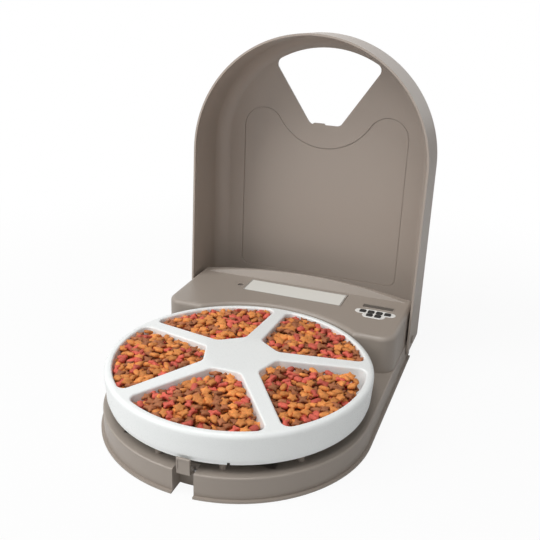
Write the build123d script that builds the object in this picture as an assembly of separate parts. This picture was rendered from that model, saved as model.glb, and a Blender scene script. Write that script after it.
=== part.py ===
from build123d import *
import os
from math import atan, atan2, cos, degrees, hypot, pi, radians, sin, sqrt

# ---------------------------------------------------------------------------
# Automatic pet feeder, millimetres, +Z up, +X to the user's right, -Y front.
# Drawn about the tray's turning axis; written out about the middle of its box.
# ---------------------------------------------------------------------------

# Foot and base shell
FOOT_R = 160.0            # outer radius of the foot flange, concentric with the tray
FLANGE_T = 2.4            # thickness of the foot flange
FOOT_RISE = 0.8           # the shell stands this far off the floor, on its rubber feet
SHELL = 2.5               # wall of the base shell, the housing and the lid
LID_SIDE_GAP = 0.7        # between the base wall and the lid that drops over it
DECK_Z = 29.0             # top of the deck
DECK_EDGE_R = 2.0
PIT_HALF = 0.54 * FOOT_R  # half-width of the square well under the tray
PIT_FRONT = FOOT_R - 42.0
PIT_Z = 17.0              # top of the well's floor
REAR_Y = 243.0            # back face of the base shell
SCREW_BOSS_R = 4.0
SCREW_R = 1.6
FIT = 0.02                # gap of a pressed or screwed joint
RUN = 0.05                # radial running clearance of a pin or shaft
GAP = 0.3                 # gap between bodies that move past each other

# Finger notch and latch
NOTCH_X = 2.5             # middle of the notch
NOTCH_W = 23.5
NOTCH_DEEP = 21.0         # from the foot's edge in to the notch's inner wall
NOTCH_R = FOOT_R - NOTCH_DEEP
LATCH_W = 15.0
LATCH_T = 2.0
LATCH_SET = 4.0           # the latch's outer face is this far inside the foot's edge
LATCH_R = FOOT_R - LATCH_SET
LATCH_RAIL = 1.3          # width of the rails down both sides of the latch
LATCH_RAIL_END = 5.0      # the rails end this far above the plate's lower edge
LATCH_SUNK = 0.6          # depth of the plate behind its rails
LATCH_LOW_Z = 25.0
LATCH_TOP_Z = 43.5
LATCH_FOLD = 2.6          # depth of the latch's folded top
LATCH_ARM = 12.0          # from the latch's outer face in to its pivot
LATCH_PIVOT_R = LATCH_R - LATCH_ARM
LATCH_PIVOT_Z = 24.5
LATCH_PIN_R = 1.5

# Glides that carry the tray's rim
GLIDE_R = 3.8
GLIDE_AT = FOOT_R - 20.0
GLIDE_ANGLES = (-104.3, -74.6, -40.9, -139.1)

# Tray
COMPARTMENTS = 5
TRAY_GAP = 3.7            # between the tray's rim and the wall of the shut lid
TRAY_LEAN = 3.3           # the skirt's lower edge is this much smaller than the rim
TRAY_R = FOOT_R - SHELL - TRAY_GAP
TRAY_FOOT_R = TRAY_R - TRAY_LEAN
TRAY_LOW_Z = 40.5
TRAY_LIP_H = 5.5          # height of the stepped lower lip
TRAY_LIP_STEP = 1.1
TRAY_LIP_NOTCH = (3.0, 2.6)   # small drain notch in the lower lip, width and height
TRAY_NOTCH_TURN = -72.0   # its direction from the tray axis
TRAY_WIDE_Z = 70.0
RIM_Z = 77.0              # top of the rim
RIM_R = 5.0               # rounding of the rim's outer edge
RIM_W = 5.3               # width of the rim's flat before it is rounded
HUB_Z = 85.0              # top of the hub
HUB_R = 40.0              # distance from the axis to a compartment's inner end
HUB_SHOULDER_R = 150.0    # soft change from the hub to the spokes
CELL_R = TRAY_R - 6.8     # outer radius of a compartment
SPOKE_HALF_IN = 9.5      # half-width of a spoke at the hub
SPOKE_HALF_OUT = 6.5      # half-width of a spoke at the rim
CELL_FLOOR_Z = 50.0
CELL_DRAFT = 9.0          # degrees
CELL_CORNER_R = 11.0
CELL_FLOOR_R = 5.0
CELL_LIP_R = 2.2          # rounding of a compartment's top edge
TRAY_T = 2.2
TRACK_T = 2.5             # thickness of the ring that runs on the glides
TRACK_Z = 38.0

# Drive
SPINDLE_R = 4.0
SLEEVE_R = 11.0
BUSH_T = 2.5
COLLAR_R = 24.0
COLLAR_T = 4.0
COG_R = 15.8
COG_W = 3.0
COG_CORE_R = 12.0
COG_H = 18.0
SOCKET_GAP = 0.25
SOCKET_T = 2.6
MODULE = 1.5
PRESSURE = 25.0
ADDENDUM = 0.85
DEDENDUM = 1.25
BACKLASH = 0.3
OUTPUT_TEETH = 72
IDLER_TEETH = 80
PINION_TEETH = 10
GEAR_Z = 4.6
GEAR_T = 7.0
WEB_T = 3.0
IDLER_TURN = 35.0         # direction of the idler from the tray axis, from +Y towards +X
PINION_TURN = 15.0        # direction of the pinion from the idler
AXLE_R = 3.0
MOTOR_R = 14.0
MOTOR_H = 31.0
MOTOR_SHAFT_R = 2.0
MOTOR_PLATE_T = 2.0
MOTOR_SCREW_AT = 19.0
SWITCH = (19.8, 10.2, 6.4)
CAM_RISE = 2.0

# Rear housing
HOUSING_TOP_Z = 78.0
HOUSING_HALF = FOOT_R - 5.0
HOUSING_FRONT_Y = FOOT_R - 42.0   # front of the two lobes
HOUSING_GAP = 3.2         # between the tray and the housing's concave front
HOUSING_R = TRAY_R + HOUSING_GAP
HOUSING_REAR_Y = 246.0
LOBE_R = 20.0
CUSP_R = 9.0
HOUSING_EDGE_R = 6.0
CREST_Y = 243.0
CREST_Z = 91.5
CREST_FOOT_Y = 234.5
CREST_HALF = HOUSING_HALF - 7.0
CREST_EDGE_R = 1.5
LEDGE = 12.0              # ledge of the deck that the housing stands on

# Label, display and keypad
LABEL = (142.0, 39.0)
LABEL_AT = (-2.0, 209.5)
LABEL_T = 0.8
LABEL_EDGE = 0.25
LABEL_DEEP = 1.0
LABEL_SLOT = (2.2, 1.6)   # pry slot at the label's right end, width and depth
TOP_SCREW_AT = (-81.7, 204.0)
TOP_SCREW_HEAD_R = 3.4
DISPLAY = (41.0, 10.0)
PANEL_X = HOUSING_HALF - 39.6     # middle of the keypad and display
DISPLAY_AT = (PANEL_X, 204.9)
DISPLAY_RIM = (1.3, 0.5)  # raised rim round the display, width and height
LENS_T = 1.5
PANEL_GAP = 0.15
BEZEL_T = 1.2
BEZEL_DEEP = 0.8
KEY = (8.4, 7.8)
KEY_PITCH = (11.0, 9.9)
KEY_AT = (PANEL_X, 186.7)
KEY_CORNER_R = 1.6
KEY_PROUD = 1.4
KEY_TRAVEL = 1.0
KEY_COLLAR = 0.7
KEY_COLLAR_T = 1.2
BOARD = (62.0, 50.0, 1.6)
BOARD_AT = (PANEL_X, 190.5)
BOARD_Z = 65.4
BOARD_POST_R = 3.0

# Lid, drawn closed
HINGE_Y = 231.5
HINGE_Z = 28.0
LID_LEAN = 3.0            # degrees past upright when it rests open
LID_RIM_GAP = 0.5         # between the closed rim and the flange
LID_PANEL = 66.1          # from the hinge axis up to the panel's inner face
LID_SLOPE = 0.03          # the panel falls towards the front
LID_BACK = 24.0           # from the hinge axis back to the skirt's outer face
LID_SKIRT_LOW = 16.0      # the skirt ends this far above the hinge axis
LID_SIDE_R = 20.0
LID_BACK_R = 14.5
RELIEF = 1.0
RELIEF_LINE = (1.0, 0.7)  # groove just inside the relief's edge, width and depth
RELIEF_HALF = FOOT_R - 42.0
RELIEF_LOW = 47.0         # from the hinge axis along the panel
RELIEF_LOW_R = 12.0
RELIEF_BUMP_R = 29.0
RELIEF_TOP = 286.0
RELIEF_DIP = 236.0
WINDOW_R = FOOT_R - 20.0
WINDOW_HALF = 76.0
WINDOW_LOW = 268.0
WINDOW_LOW_HALF = 21.5
WINDOW_CORNER_R = 9.0
WINDOW_TAB = 2.0
HINGE_PIN_R = 3.0
HINGE_HEAD_R = 5.5
HINGE_HEAD_T = 1.5
HINGE_BOSS_R = 7.0
HINGE_BOSS_L = 14.0
STOP_W = 14.0

# Cells and their well
CELL_DIA = 34.2
CELL_LEN = 61.5
CELL_NUB = (5.0, 1.5)
CELL_CENTRE_X = 85.0 - HOUSING_HALF
CELL_ROW_Y = (179.3, 221.0)
CELL_LOW_Z = 4.0
CONTACT_T = 0.4
CONTACT_SPRING = 3.4
CONTACT_W = 16.0
WELL_T = 1.5
WELL_ROOF = 2.0
WELL_SLACK = 0.8

# Bottom cover, door and feet
COVER_Z = 1.5
COVER_T = 2.0
COVER_GAP = 0.3
DOOR_T = 1.6
DOOR_TONGUE = 1.5
DOOR_TRAVEL = 70.0
RAIL_W = 4.0
FOOT_PAD_R = 6.0
FOOT_PAD_IN = 18.6        # from the foot's edge in to the front pads
COVER_SCREW_IN = 13.2     # from the foot's edge in to the bottom cover's screws
COVER_SCREW_TURN = 24.1   # front screws' direction from the front
HOUSING_SCREW_IN = 10.0   # from the housing's side in to its screws

# ---------------------------------------------------------------------------
# Sizes that follow
# ---------------------------------------------------------------------------
PAD_R = FOOT_R - FOOT_PAD_IN
SIDE_X = FOOT_R - COVER_SCREW_IN
POST_X = HOUSING_HALF - HOUSING_SCREW_IN
FOOT_PADS = ((-PAD_R * sqrt(0.5), -PAD_R * sqrt(0.5)), (PAD_R * sqrt(0.5), -PAD_R * sqrt(0.5)),
             (-SIDE_X + 1.3, 214.0), (SIDE_X - 1.3, 214.0))
COVER_SCREWS = ((-SIDE_X * sin(radians(COVER_SCREW_TURN)), -SIDE_X * cos(radians(COVER_SCREW_TURN))),
                (SIDE_X * sin(radians(COVER_SCREW_TURN)), -SIDE_X * cos(radians(COVER_SCREW_TURN))),
                (-SIDE_X, 30.0), (SIDE_X, 30.0), (-SIDE_X, 105.0), (SIDE_X, 105.0), (95.0, 233.0))
HOUSING_SCREWS = ((-POST_X, 150.0), (POST_X, 150.0), (-POST_X, 190.0), (125.0, 236.0), (50.0, 235.0))
FLANGE_TOP = FOOT_RISE + FLANGE_T
WALL_R = FOOT_R - SHELL - LID_SIDE_GAP
DECK_LOW = DECK_Z - SHELL
PIT_LOW = PIT_Z - SHELL
LID_RIM_Z = FLANGE_TOP + LID_RIM_GAP
EAR_R = HINGE_Z - LID_RIM_Z
GEAR_TOP = GEAR_Z + GEAR_T
COVER_TOP = COVER_Z + COVER_T
COLLAR_Z = TRACK_Z - COLLAR_T
IDLER_DIST = MODULE * (OUTPUT_TEETH + IDLER_TEETH) / 2
PINION_DIST = MODULE * (IDLER_TEETH + PINION_TEETH) / 2
IDLER_AT = (IDLER_DIST * sin(radians(IDLER_TURN)), IDLER_DIST * cos(radians(IDLER_TURN)))
PINION_AT = (IDLER_AT[0] + PINION_DIST * sin(radians(PINION_TURN)),
             IDLER_AT[1] + PINION_DIST * cos(radians(PINION_TURN)))
WELL_IN_HALF = CELL_LEN + CONTACT_T + CONTACT_SPRING / 2
WELL_HALF = WELL_IN_HALF + WELL_T
WELL_Y0 = CELL_ROW_Y[0] - CELL_DIA / 2 - WELL_SLACK
WELL_Y1 = CELL_ROW_Y[1] + CELL_DIA / 2 + WELL_SLACK
WELL_TOP = CELL_LOW_Z + CELL_DIA + WELL_SLACK
RAIL_TOP = COVER_TOP + COVER_T
CELL_Z = CELL_LOW_Z + CELL_DIA / 2


def at(x=0.0, y=0.0, z=0.0):
    return Location((x, y, z))


def block(x0, x1, y0, y1, z0, z1):
    """A box between two corners."""
    return Box(x1 - x0, y1 - y0, z1 - z0, align=Align.MIN).moved(at(x0, y0, z0))


def rod(radius, z0, z1, x=0.0, y=0.0):
    """An upright cylinder."""
    return Cylinder(radius, z1 - z0, align=(Align.CENTER, Align.CENTER, Align.MIN)).moved(at(x, y, z0))


def rod_x(radius, x0, x1, y, z):
    """A cylinder lying along X."""
    return Pos(x0, y, z) * Rot(0, 90, 0) * Cylinder(radius, x1 - x0,
                                                    align=(Align.CENTER, Align.CENTER, Align.MIN))


def prism(sketch, z0, z1):
    """A flat sketch raised from z0 to z1."""
    return extrude(Pos(0, 0, z0) * sketch, amount=z1 - z0)


def d_plan(radius, rear):
    """A D: a half circle about the tray axis with straight sides running back."""
    return Circle(radius) + Pos(0, rear / 2) * Rectangle(2 * radius, rear)


def round_corners(sketch, radius, test):
    """Round the sketch's corners that pass the test."""
    return fillet([v for v in sketch.vertices() if test(v)], radius)


def both_sides(x):
    return (-x, x)


def one(shape):
    """The single solid that a shape holds."""
    solids = shape.solids()
    if len(solids) != 1:
        raise ValueError(f"expected one solid, found {len(solids)}")
    return solids[0]


# ---------------------------------------------------------------------------
# Rear housing
# ---------------------------------------------------------------------------
def housing_plan(inset):
    """The housing's outline: a concave front between two rounded lobes."""
    half = HOUSING_HALF - inset
    front = HOUSING_FRONT_Y + inset
    rear = HOUSING_REAR_Y - inset
    plan = Pos(0, (front + rear) / 2) * Rectangle(2 * half, rear - front)
    plan -= Circle(HOUSING_R + inset)
    plan = round_corners(plan, max(LOBE_R - inset, 1), lambda v: v.Y < front + 1 and abs(v.X) > half - 1)
    return round_corners(plan, CUSP_R, lambda v: v.Y < front + 1 and abs(v.X) < half - LOBE_R)


def crest(drop):
    """The arched crest along the housing's back, lowered by drop."""
    rise = CREST_Z - HOUSING_TOP_Z
    arc_r = (CREST_HALF ** 2 + rise ** 2) / (2 * rise)
    rear = HOUSING_REAR_Y - drop
    arch = Pos(0, CREST_Z - arc_r - drop) * Circle(arc_r)
    arch &= Pos(0, CREST_Z - 20) * Rectangle(2 * CREST_HALF - 2 * drop, 40)
    body = extrude(Plane(origin=(0, rear, 0), x_dir=(1, 0, 0), z_dir=(0, -1, 0)) * arch, amount=30)
    slope = degrees(atan((CREST_Z - HOUSING_TOP_Z) / (CREST_Y - CREST_FOOT_Y)))
    face = Plane(origin=(0, CREST_FOOT_Y + drop, HOUSING_TOP_Z - drop),
                 z_dir=(0, -sin(radians(slope)), cos(radians(slope))))
    return split(body, face, keep=Keep.BOTTOM)


def bezel_plan(grow):
    """The keypad bezel's cloud outline."""
    x, y = KEY_AT
    low = y - KEY_PITCH[1]
    cloud = Pos(x, y + 0.3) * SlotOverall(54.0 + 2 * grow, 12.5 + 2 * grow)
    cloud += Pos(x, y) * SlotOverall(38.0 + 2 * grow, 16.0 + 2 * grow)
    return cloud + Pos(x, low) * SlotOverall(30.0 + 2 * grow, 14.0 + 2 * grow)


def key_places():
    """Middles of the six keys: a row of four and a row of two in front of it."""
    x, y = KEY_AT
    back = [(x + KEY_PITCH[0] * (i - 1.5), y) for i in range(4)]
    front = [(x + KEY_PITCH[0] * (i - 0.5), y - KEY_PITCH[1]) for i in range(2)]
    return back + front


def key_plan(grow):
    return RectangleRounded(KEY[0] + 2 * grow, KEY[1] + 2 * grow, KEY_CORNER_R + grow / 2)


def board_posts():
    x, y = BOARD_AT
    return [(x + sx * (BOARD[0] / 2 - 4), y + sy * (BOARD[1] / 2 - 4)) for sx in (-1, 1) for sy in (-1, 1)]


def housing_cover():
    """Moulded cover over the works: shell, crest, recesses and posts."""
    outer = prism(housing_plan(0), DECK_Z, HOUSING_TOP_Z)
    top = outer.faces().sort_by(Axis.Z)[-1]
    outer = fillet([e for e in top.edges() if e.center().Y < HOUSING_REAR_Y - 1], HOUSING_EDGE_R)
    outer += crest(0)
    ridge = [e for e in outer.edges() if e.center().Z > HOUSING_TOP_Z + 2 and e.length > CREST_HALF]
    outer = fillet(ridge, CREST_EDGE_R)
    inner = prism(housing_plan(SHELL), DECK_Z - 1, HOUSING_TOP_Z - SHELL)
    ceiling = inner.faces().sort_by(Axis.Z)[-1]
    inner = fillet([e for e in ceiling.edges() if e.center().Y < HOUSING_REAR_Y - SHELL - 1],
                   HOUSING_EDGE_R - SHELL)
    body = outer - inner - (crest(SHELL) - prism(Rectangle(400, 600), 0, HOUSING_TOP_Z - SHELL))
    ceiling_z = HOUSING_TOP_Z - SHELL
    for x, y in board_posts():
        body += rod(BOARD_POST_R, BOARD_Z + BOARD[2], ceiling_z + 0.5, x, y)
        body -= rod(SCREW_R - 0.5, BOARD_Z + BOARD[2], ceiling_z - 1, x, y)
    for x, y in HOUSING_SCREWS:
        body += rod(SCREW_BOSS_R, DECK_Z, ceiling_z + 0.5, x, y)
        body -= rod(SCREW_R + FIT, DECK_Z, DECK_Z + 14, x, y)
    x, y = LABEL_AT
    body -= prism(Pos(x, y) * Rectangle(*LABEL), HOUSING_TOP_Z - LABEL_DEEP, HOUSING_TOP_Z + 1)
    slot_x = x + (LABEL[0] - LABEL_SLOT[0]) / 2
    body -= prism(Pos(slot_x, y) * Rectangle(LABEL_SLOT[0], LABEL[1]), HOUSING_TOP_Z - LABEL_SLOT[1],
                  HOUSING_TOP_Z)
    x, y = TOP_SCREW_AT
    body -= rod(TOP_SCREW_HEAD_R + GAP, HOUSING_TOP_Z - 1.6, HOUSING_TOP_Z + 1, x, y)
    body -= rod(SCREW_R + GAP, ceiling_z - 1, HOUSING_TOP_Z, x, y)
    x, y = DISPLAY_AT
    rim_w, rim_h = DISPLAY_RIM
    frame = prism(Pos(x, y) * Rectangle(DISPLAY[0] + 2 * rim_w, DISPLAY[1] + 2 * rim_w),
                  HOUSING_TOP_Z - 1, HOUSING_TOP_Z + rim_h)
    body += chamfer(frame.faces().sort_by(Axis.Z)[-1].edges(), rim_h * 0.6)
    body -= prism(Pos(x, y) * Rectangle(*DISPLAY), ceiling_z - 1, HOUSING_TOP_Z + 1)
    body -= prism(bezel_plan(PANEL_GAP), HOUSING_TOP_Z - BEZEL_DEEP, HOUSING_TOP_Z + 1)
    for x, y in key_places():
        body -= prism(Pos(x, y) * key_plan(GAP), ceiling_z - 1, HOUSING_TOP_Z)
    for side in (-1, 1):
        wall = side * (HOUSING_HALF - SHELL / 2)
        body -= rod_x(HINGE_BOSS_R + GAP, wall - 9, wall + 9, HINGE_Y, HINGE_Z)
    return one(body)


def label_plate():
    x, y = LABEL_AT
    w, d = LABEL[0] - LABEL_SLOT[0], LABEL[1]
    z = HOUSING_TOP_Z - LABEL_DEEP
    plan = Pos(x - LABEL_SLOT[0] / 2, y) * Rectangle(w - 2 * LABEL_EDGE, d - 2 * LABEL_EDGE)
    return one(prism(plan, z, z + LABEL_T))


def display_lens():
    x, y = DISPLAY_AT
    w, d = DISPLAY
    top = HOUSING_TOP_Z - GAP
    return one(prism(Pos(x, y) * Rectangle(w - 2 * PANEL_GAP, d - 2 * PANEL_GAP), top - LENS_T, top))


def display_module():
    """Display block standing on the circuit board under its lens."""
    x, y = DISPLAY_AT
    z = BOARD_Z + BOARD[2]
    top = HOUSING_TOP_Z - SHELL - GAP
    body = block(x - 23, x + 23, y - 6, y + 6, z, top - 2)
    return one(body + block(x - 21, x + 21, y - 5.5, y + 5.5, top - 2, top))


def keypad_bezel():
    plate = prism(bezel_plan(0), HOUSING_TOP_Z - BEZEL_DEEP, HOUSING_TOP_Z - BEZEL_DEEP + BEZEL_T)
    rim = plate.faces().sort_by(Axis.Z)[-1].edges()
    plate = chamfer(rim, 0.3)
    for x, y in key_places():
        plate -= prism(Pos(x, y) * key_plan(GAP), HOUSING_TOP_Z - 2, HOUSING_TOP_Z + 2)
    return one(plate)


def key(x, y):
    """A key: domed cap on a collar that stops under the housing's top."""
    collar_top = HOUSING_TOP_Z - SHELL - GAP
    cap = prism(Pos(x, y) * key_plan(0), collar_top, HOUSING_TOP_Z + KEY_PROUD)
    cap = chamfer(cap.faces().sort_by(Axis.Z)[-1].edges(), 0.5)
    return one(cap + prism(Pos(x, y) * key_plan(KEY_COLLAR), collar_top - KEY_COLLAR_T, collar_top))


def circuit_board():
    x, y = BOARD_AT
    board = prism(Pos(x, y) * RectangleRounded(BOARD[0], BOARD[1], 2), BOARD_Z, BOARD_Z + BOARD[2])
    board += block(x - 24, x - 14, y - 4, y + 10, BOARD_Z - 2, BOARD_Z)
    board += block(x - 4, x + 10, y - 12, y - 2, BOARD_Z - 2.4, BOARD_Z)
    for px, py in board_posts():
        board -= rod(SCREW_R, BOARD_Z - 1, BOARD_Z + 3, px, py)
    return one(board)


def tact_switches():
    """One switch on the board under each key."""
    low = BOARD_Z + BOARD[2]
    top = HOUSING_TOP_Z - SHELL - GAP - KEY_COLLAR_T - KEY_TRAVEL - GAP
    shapes = []
    for x, y in key_places():
        body = block(x - 3, x + 3, y - 3, y + 3, low, top - 1)
        shapes.append(one(body + rod(1.7, top - 1, top, x, y)))
    return Compound(children=shapes)


def board_screws():
    shapes = []
    for x, y in board_posts():
        head = rod(2.6, BOARD_Z - 1.6, BOARD_Z, x, y)
        shapes.append(one(head + rod(SCREW_R - 0.5 - FIT, BOARD_Z, BOARD_Z + 7, x, y)))
    return Compound(children=shapes)


# ---------------------------------------------------------------------------
# Base
# ---------------------------------------------------------------------------
def notch_void(grow):
    """The finger notch, grown by a wall on its closed sides."""
    half = NOTCH_W / 2 + grow
    strip = block(NOTCH_X - half, NOTCH_X + half, -FOOT_R - 5, -NOTCH_R / 2, -1, DECK_Z + 10)
    return strip - rod(NOTCH_R - grow, -2, DECK_Z + 11)


def deck_hole():
    """Opening in the deck under the housing, for the cells and the board's wires."""
    hole = housing_plan(LEDGE) - Pos(*PINION_AT) * Circle(MOTOR_SCREW_AT + 6)
    for x, y in HOUSING_SCREWS:
        hole -= Pos(x, y) * Circle(SCREW_BOSS_R + 1)
    y0 = WELL_Y0 - WELL_T - GAP
    y1 = WELL_Y1 + WELL_T + GAP
    well = Pos(CELL_CENTRE_X, (y0 + y1) / 2) * Rectangle(2 * (WELL_HALF + GAP), y1 - y0)
    return hole + well


def base_shell():
    """Foot flange, wall, deck, well under the tray, notch, bosses and glides."""
    wall = prism(d_plan(WALL_R, REAR_Y), FOOT_RISE, DECK_Z)
    wall = fillet([e for e in wall.faces().sort_by(Axis.Z)[-1].edges() if e.center().Y < REAR_Y - 1],
                  DECK_EDGE_R)
    flange = prism(d_plan(FOOT_R, HINGE_Y), FOOT_RISE, FLANGE_TOP)
    inside = prism(d_plan(WALL_R - SHELL, REAR_Y - SHELL), -1, DECK_LOW)
    inside -= block(-PIT_HALF - SHELL, PIT_HALF + SHELL, -PIT_FRONT - SHELL, PIT_FRONT + SHELL,
                    PIT_LOW, DECK_Z)
    inside -= notch_void(SHELL)
    body = wall + flange - inside
    body -= block(-PIT_HALF, PIT_HALF, -PIT_FRONT, PIT_FRONT, PIT_Z, DECK_Z + 1)
    body -= notch_void(0)
    body -= prism(deck_hole(), PIT_Z, DECK_Z + 1)
    for x, y in COVER_SCREWS:
        body += rod(SCREW_BOSS_R, COVER_TOP, DECK_LOW + 0.5, x, y)
        body -= rod(SCREW_R + FIT, COVER_TOP - 1, COVER_TOP + 10, x, y)
    for x, y in HOUSING_SCREWS:
        body -= rod(SCREW_R + FIT, DECK_LOW - 1, DECK_Z + 1, x, y)
    for angle in GLIDE_ANGLES:
        x = GLIDE_AT * cos(radians(angle))
        y = GLIDE_AT * sin(radians(angle))
        dome = TRACK_Z - GAP - GLIDE_R
        body += rod(GLIDE_R, DECK_LOW + 1, dome, x, y) + Pos(x, y, dome) * Sphere(GLIDE_R)
    body += rod(SLEEVE_R + BUSH_T + 4, PIT_LOW, PIT_Z + 4)
    body -= rod(SLEEVE_R + BUSH_T + FIT, PIT_LOW - 1, PIT_Z + 5)
    body += rod(AXLE_R + 3, GEAR_TOP + GAP, PIT_LOW + 0.5, *IDLER_AT)
    body -= rod(AXLE_R + FIT, GEAR_TOP - 1, PIT_LOW + 1, *IDLER_AT)
    body -= rod(MOTOR_SHAFT_R + 2, DECK_LOW - 1, DECK_Z + 1, *PINION_AT)
    for side in (-1, 1):
        x, y = PINION_AT
        body -= rod(SCREW_R + FIT, DECK_LOW - 1, DECK_Z + 1, x + side * MOTOR_SCREW_AT, y)
        end = side * WALL_R
        start = side * (WALL_R - HINGE_BOSS_L)
        body += rod_x(HINGE_BOSS_R, min(start, end), max(start, end), HINGE_Y, HINGE_Z)
        body -= rod_x(HINGE_PIN_R + FIT, min(start, end) - 1, max(start, end) + 1, HINGE_Y, HINGE_Z)
        stop_x = side * HOUSING_HALF * 0.6
        body += block(stop_x - STOP_W / 2, stop_x + STOP_W / 2, REAR_Y - 1, stop_face_y(), 2.0, 8.0)
        pin_x0 = NOTCH_X + side * NOTCH_W / 2
        body -= rod_x(LATCH_PIN_R + FIT, min(pin_x0, pin_x0 + side * SHELL * 0.8),
                      max(pin_x0, pin_x0 + side * SHELL * 0.8), -LATCH_PIVOT_R, LATCH_PIVOT_Z)
    sx, sy = switch_at()
    body += block(sx - SWITCH[0] / 2, sx + SWITCH[0] / 2, sy - SWITCH[1] / 2, sy + SWITCH[1] / 2,
                  PIT_Z - 1, COLLAR_Z - 1)
    return one(body)


def stop_face_y():
    """Where the open lid's skirt edge comes to rest behind the base."""
    lean = radians(LID_LEAN)
    return HINGE_Y - LID_BACK * sin(lean) + LID_SKIRT_LOW * cos(lean) - GAP


def switch_at():
    return (0.0, COLLAR_R + CAM_RISE + GAP + 2.0 + SWITCH[1] / 2)


def latch():
    """Front latch: a plate sunk between two rails under a folded top, on two arms."""
    y_out = -LATCH_R
    face = y_out + LATCH_SUNK
    y_in = face + LATCH_T
    x0 = NOTCH_X - LATCH_W / 2
    x1 = NOTCH_X + LATCH_W / 2
    body = block(x0, x1, face, y_in, LATCH_LOW_Z, LATCH_TOP_Z)
    body += block(x0, x1, y_out, y_out + LATCH_FOLD, LATCH_TOP_Z - LATCH_T, LATCH_TOP_Z)
    for x in (x0, x1 - LATCH_RAIL):
        body += block(x, x + LATCH_RAIL, y_out, y_in, LATCH_LOW_Z + LATCH_RAIL_END, LATCH_TOP_Z)
    body = fillet([e for e in body.edges() if e.center().Z > LATCH_TOP_Z - 0.1
                   and e.center().Y < y_out + 0.1], 0.8)
    for x in (x0, x1 - LATCH_T):
        arm = block(x, x + LATCH_T, y_in - 0.5, -LATCH_PIVOT_R, LATCH_LOW_Z, LATCH_LOW_Z + 3.5)
        body += arm + rod_x(3.4, x, x + LATCH_T, -LATCH_PIVOT_R, LATCH_PIVOT_Z)
        body -= rod_x(LATCH_PIN_R + RUN, x - 1, x + LATCH_T + 1, -LATCH_PIVOT_R, LATCH_PIVOT_Z)
    return one(body)


def latch_pin():
    half = NOTCH_W / 2 + SHELL * 0.8 - FIT
    return one(rod_x(LATCH_PIN_R, NOTCH_X - half, NOTCH_X + half, -LATCH_PIVOT_R, LATCH_PIVOT_Z))


def latch_spring():
    """Torsion spring round the latch pin, its coils closed up, with a leg to the notch wall."""
    half = LATCH_W / 2 - LATCH_T - GAP
    coil = rod_x(LATCH_PIN_R + 1.2, NOTCH_X - half, NOTCH_X + half, -LATCH_PIVOT_R, LATCH_PIVOT_Z)
    leg_y = -LATCH_PIVOT_R
    leg = block(NOTCH_X - 0.5, NOTCH_X + 0.5, leg_y, -NOTCH_R - FIT - 0.1,
                LATCH_PIVOT_Z - LATCH_PIN_R - 1.2, LATCH_PIVOT_Z - LATCH_PIN_R - 0.2)
    bore = rod_x(LATCH_PIN_R + FIT, NOTCH_X - half - 1, NOTCH_X + half + 1, -LATCH_PIVOT_R, LATCH_PIVOT_Z)
    return one(coil + leg - bore)


def rail_lines():
    """Inner and outer X of the two door rails, left then right."""
    left = CELL_CENTRE_X - WELL_IN_HALF
    right = CELL_CENTRE_X + WELL_IN_HALF
    return ((left - RAIL_W, left), (right, right + RAIL_W))


def base_bottom():
    """Bottom cover with the door's rails, the slide recess and bosses for the shafts."""
    plate = prism(d_plan(WALL_R - SHELL - COVER_GAP, REAR_Y - SHELL - COVER_GAP), COVER_Z, COVER_TOP)
    plate -= notch_void(SHELL + COVER_GAP)
    (x0, x1), (x2, x3) = rail_lines()
    y0 = WELL_Y0 - DOOR_TRAVEL - 2
    y1 = WELL_Y1 + WELL_T
    raised = block(x0, x3, y0 - SHELL, WELL_Y0, COVER_Z, RAIL_TOP)
    raised += block(x0, x1, WELL_Y0 - 1, y1, COVER_Z, RAIL_TOP)
    raised += block(x2, x3, WELL_Y0 - 1, y1, COVER_Z, RAIL_TOP)
    body = plate + raised
    body -= block(x1, x2, y0, y1 - WELL_T, COVER_Z - 1, COVER_TOP)
    body -= block(x1, x2, WELL_Y0, y1 - WELL_T, COVER_Z - 1, RAIL_TOP + 1)
    groove = DOOR_TONGUE + GAP
    groove_z = COVER_Z + 0.4
    body -= block(x1 - groove, x2 + groove, y0, y1 - WELL_T, groove_z, COVER_TOP)
    for x, y in COVER_SCREWS:
        body -= rod(SCREW_R + 0.2, COVER_Z - 1, COVER_TOP + 1, x, y)
    for x, y in FOOT_PADS:
        body -= rod(FOOT_PAD_R + 0.1, COVER_Z - 1, COVER_Z + 0.6, x, y)
    for (x, y), r in (((0, 0), SPINDLE_R), (IDLER_AT, AXLE_R), (PINION_AT, MOTOR_SHAFT_R)):
        body += rod(r + 3, COVER_TOP - 0.5, GEAR_Z - GAP, x, y)
        body -= rod(r + (RUN if r == MOTOR_SHAFT_R else FIT), COVER_Z + 0.8, GEAR_Z, x, y)
    return one(body)


def battery_door():
    """Sliding door under the cells, with tongues along both sides and finger ribs."""
    (_, x1), (x2, _) = rail_lines()
    y0 = WELL_Y0 + GAP
    y1 = WELL_Y1 - GAP
    z0 = COVER_Z
    door = block(x1 + GAP, x2 - GAP, y0, y1, z0, z0 + DOOR_T)
    tongue_z = z0 + 0.4 + GAP
    door += block(x1 - DOOR_TONGUE, x2 + DOOR_TONGUE, y0, y1, tongue_z, z0 + DOOR_T)
    for i in range(4):
        y = y0 + 8 + 3 * i
        door -= block(CELL_CENTRE_X - 12, CELL_CENTRE_X + 12, y, y + 1.2, z0 - 1, z0 + 0.5)
    return one(door)


def rubber_feet():
    shapes = [rod(FOOT_PAD_R, 0, COVER_Z + 0.6, x, y) for x, y in FOOT_PADS]
    return Compound(children=[one(chamfer(s.faces().sort_by(Axis.Z)[0].edges(), 0.5)) for s in shapes])


def pan_screw(x, y, head_low, head_top, tip, head_r):
    """A screw with a flat round head and a straight shank."""
    shank_low = min(head_top, tip) if tip > head_top else tip
    shank_high = max(head_low, tip) if tip > head_top else head_low
    return one(rod(head_r, head_low, head_top, x, y) + rod(SCREW_R, shank_low, shank_high, x, y))


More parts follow.
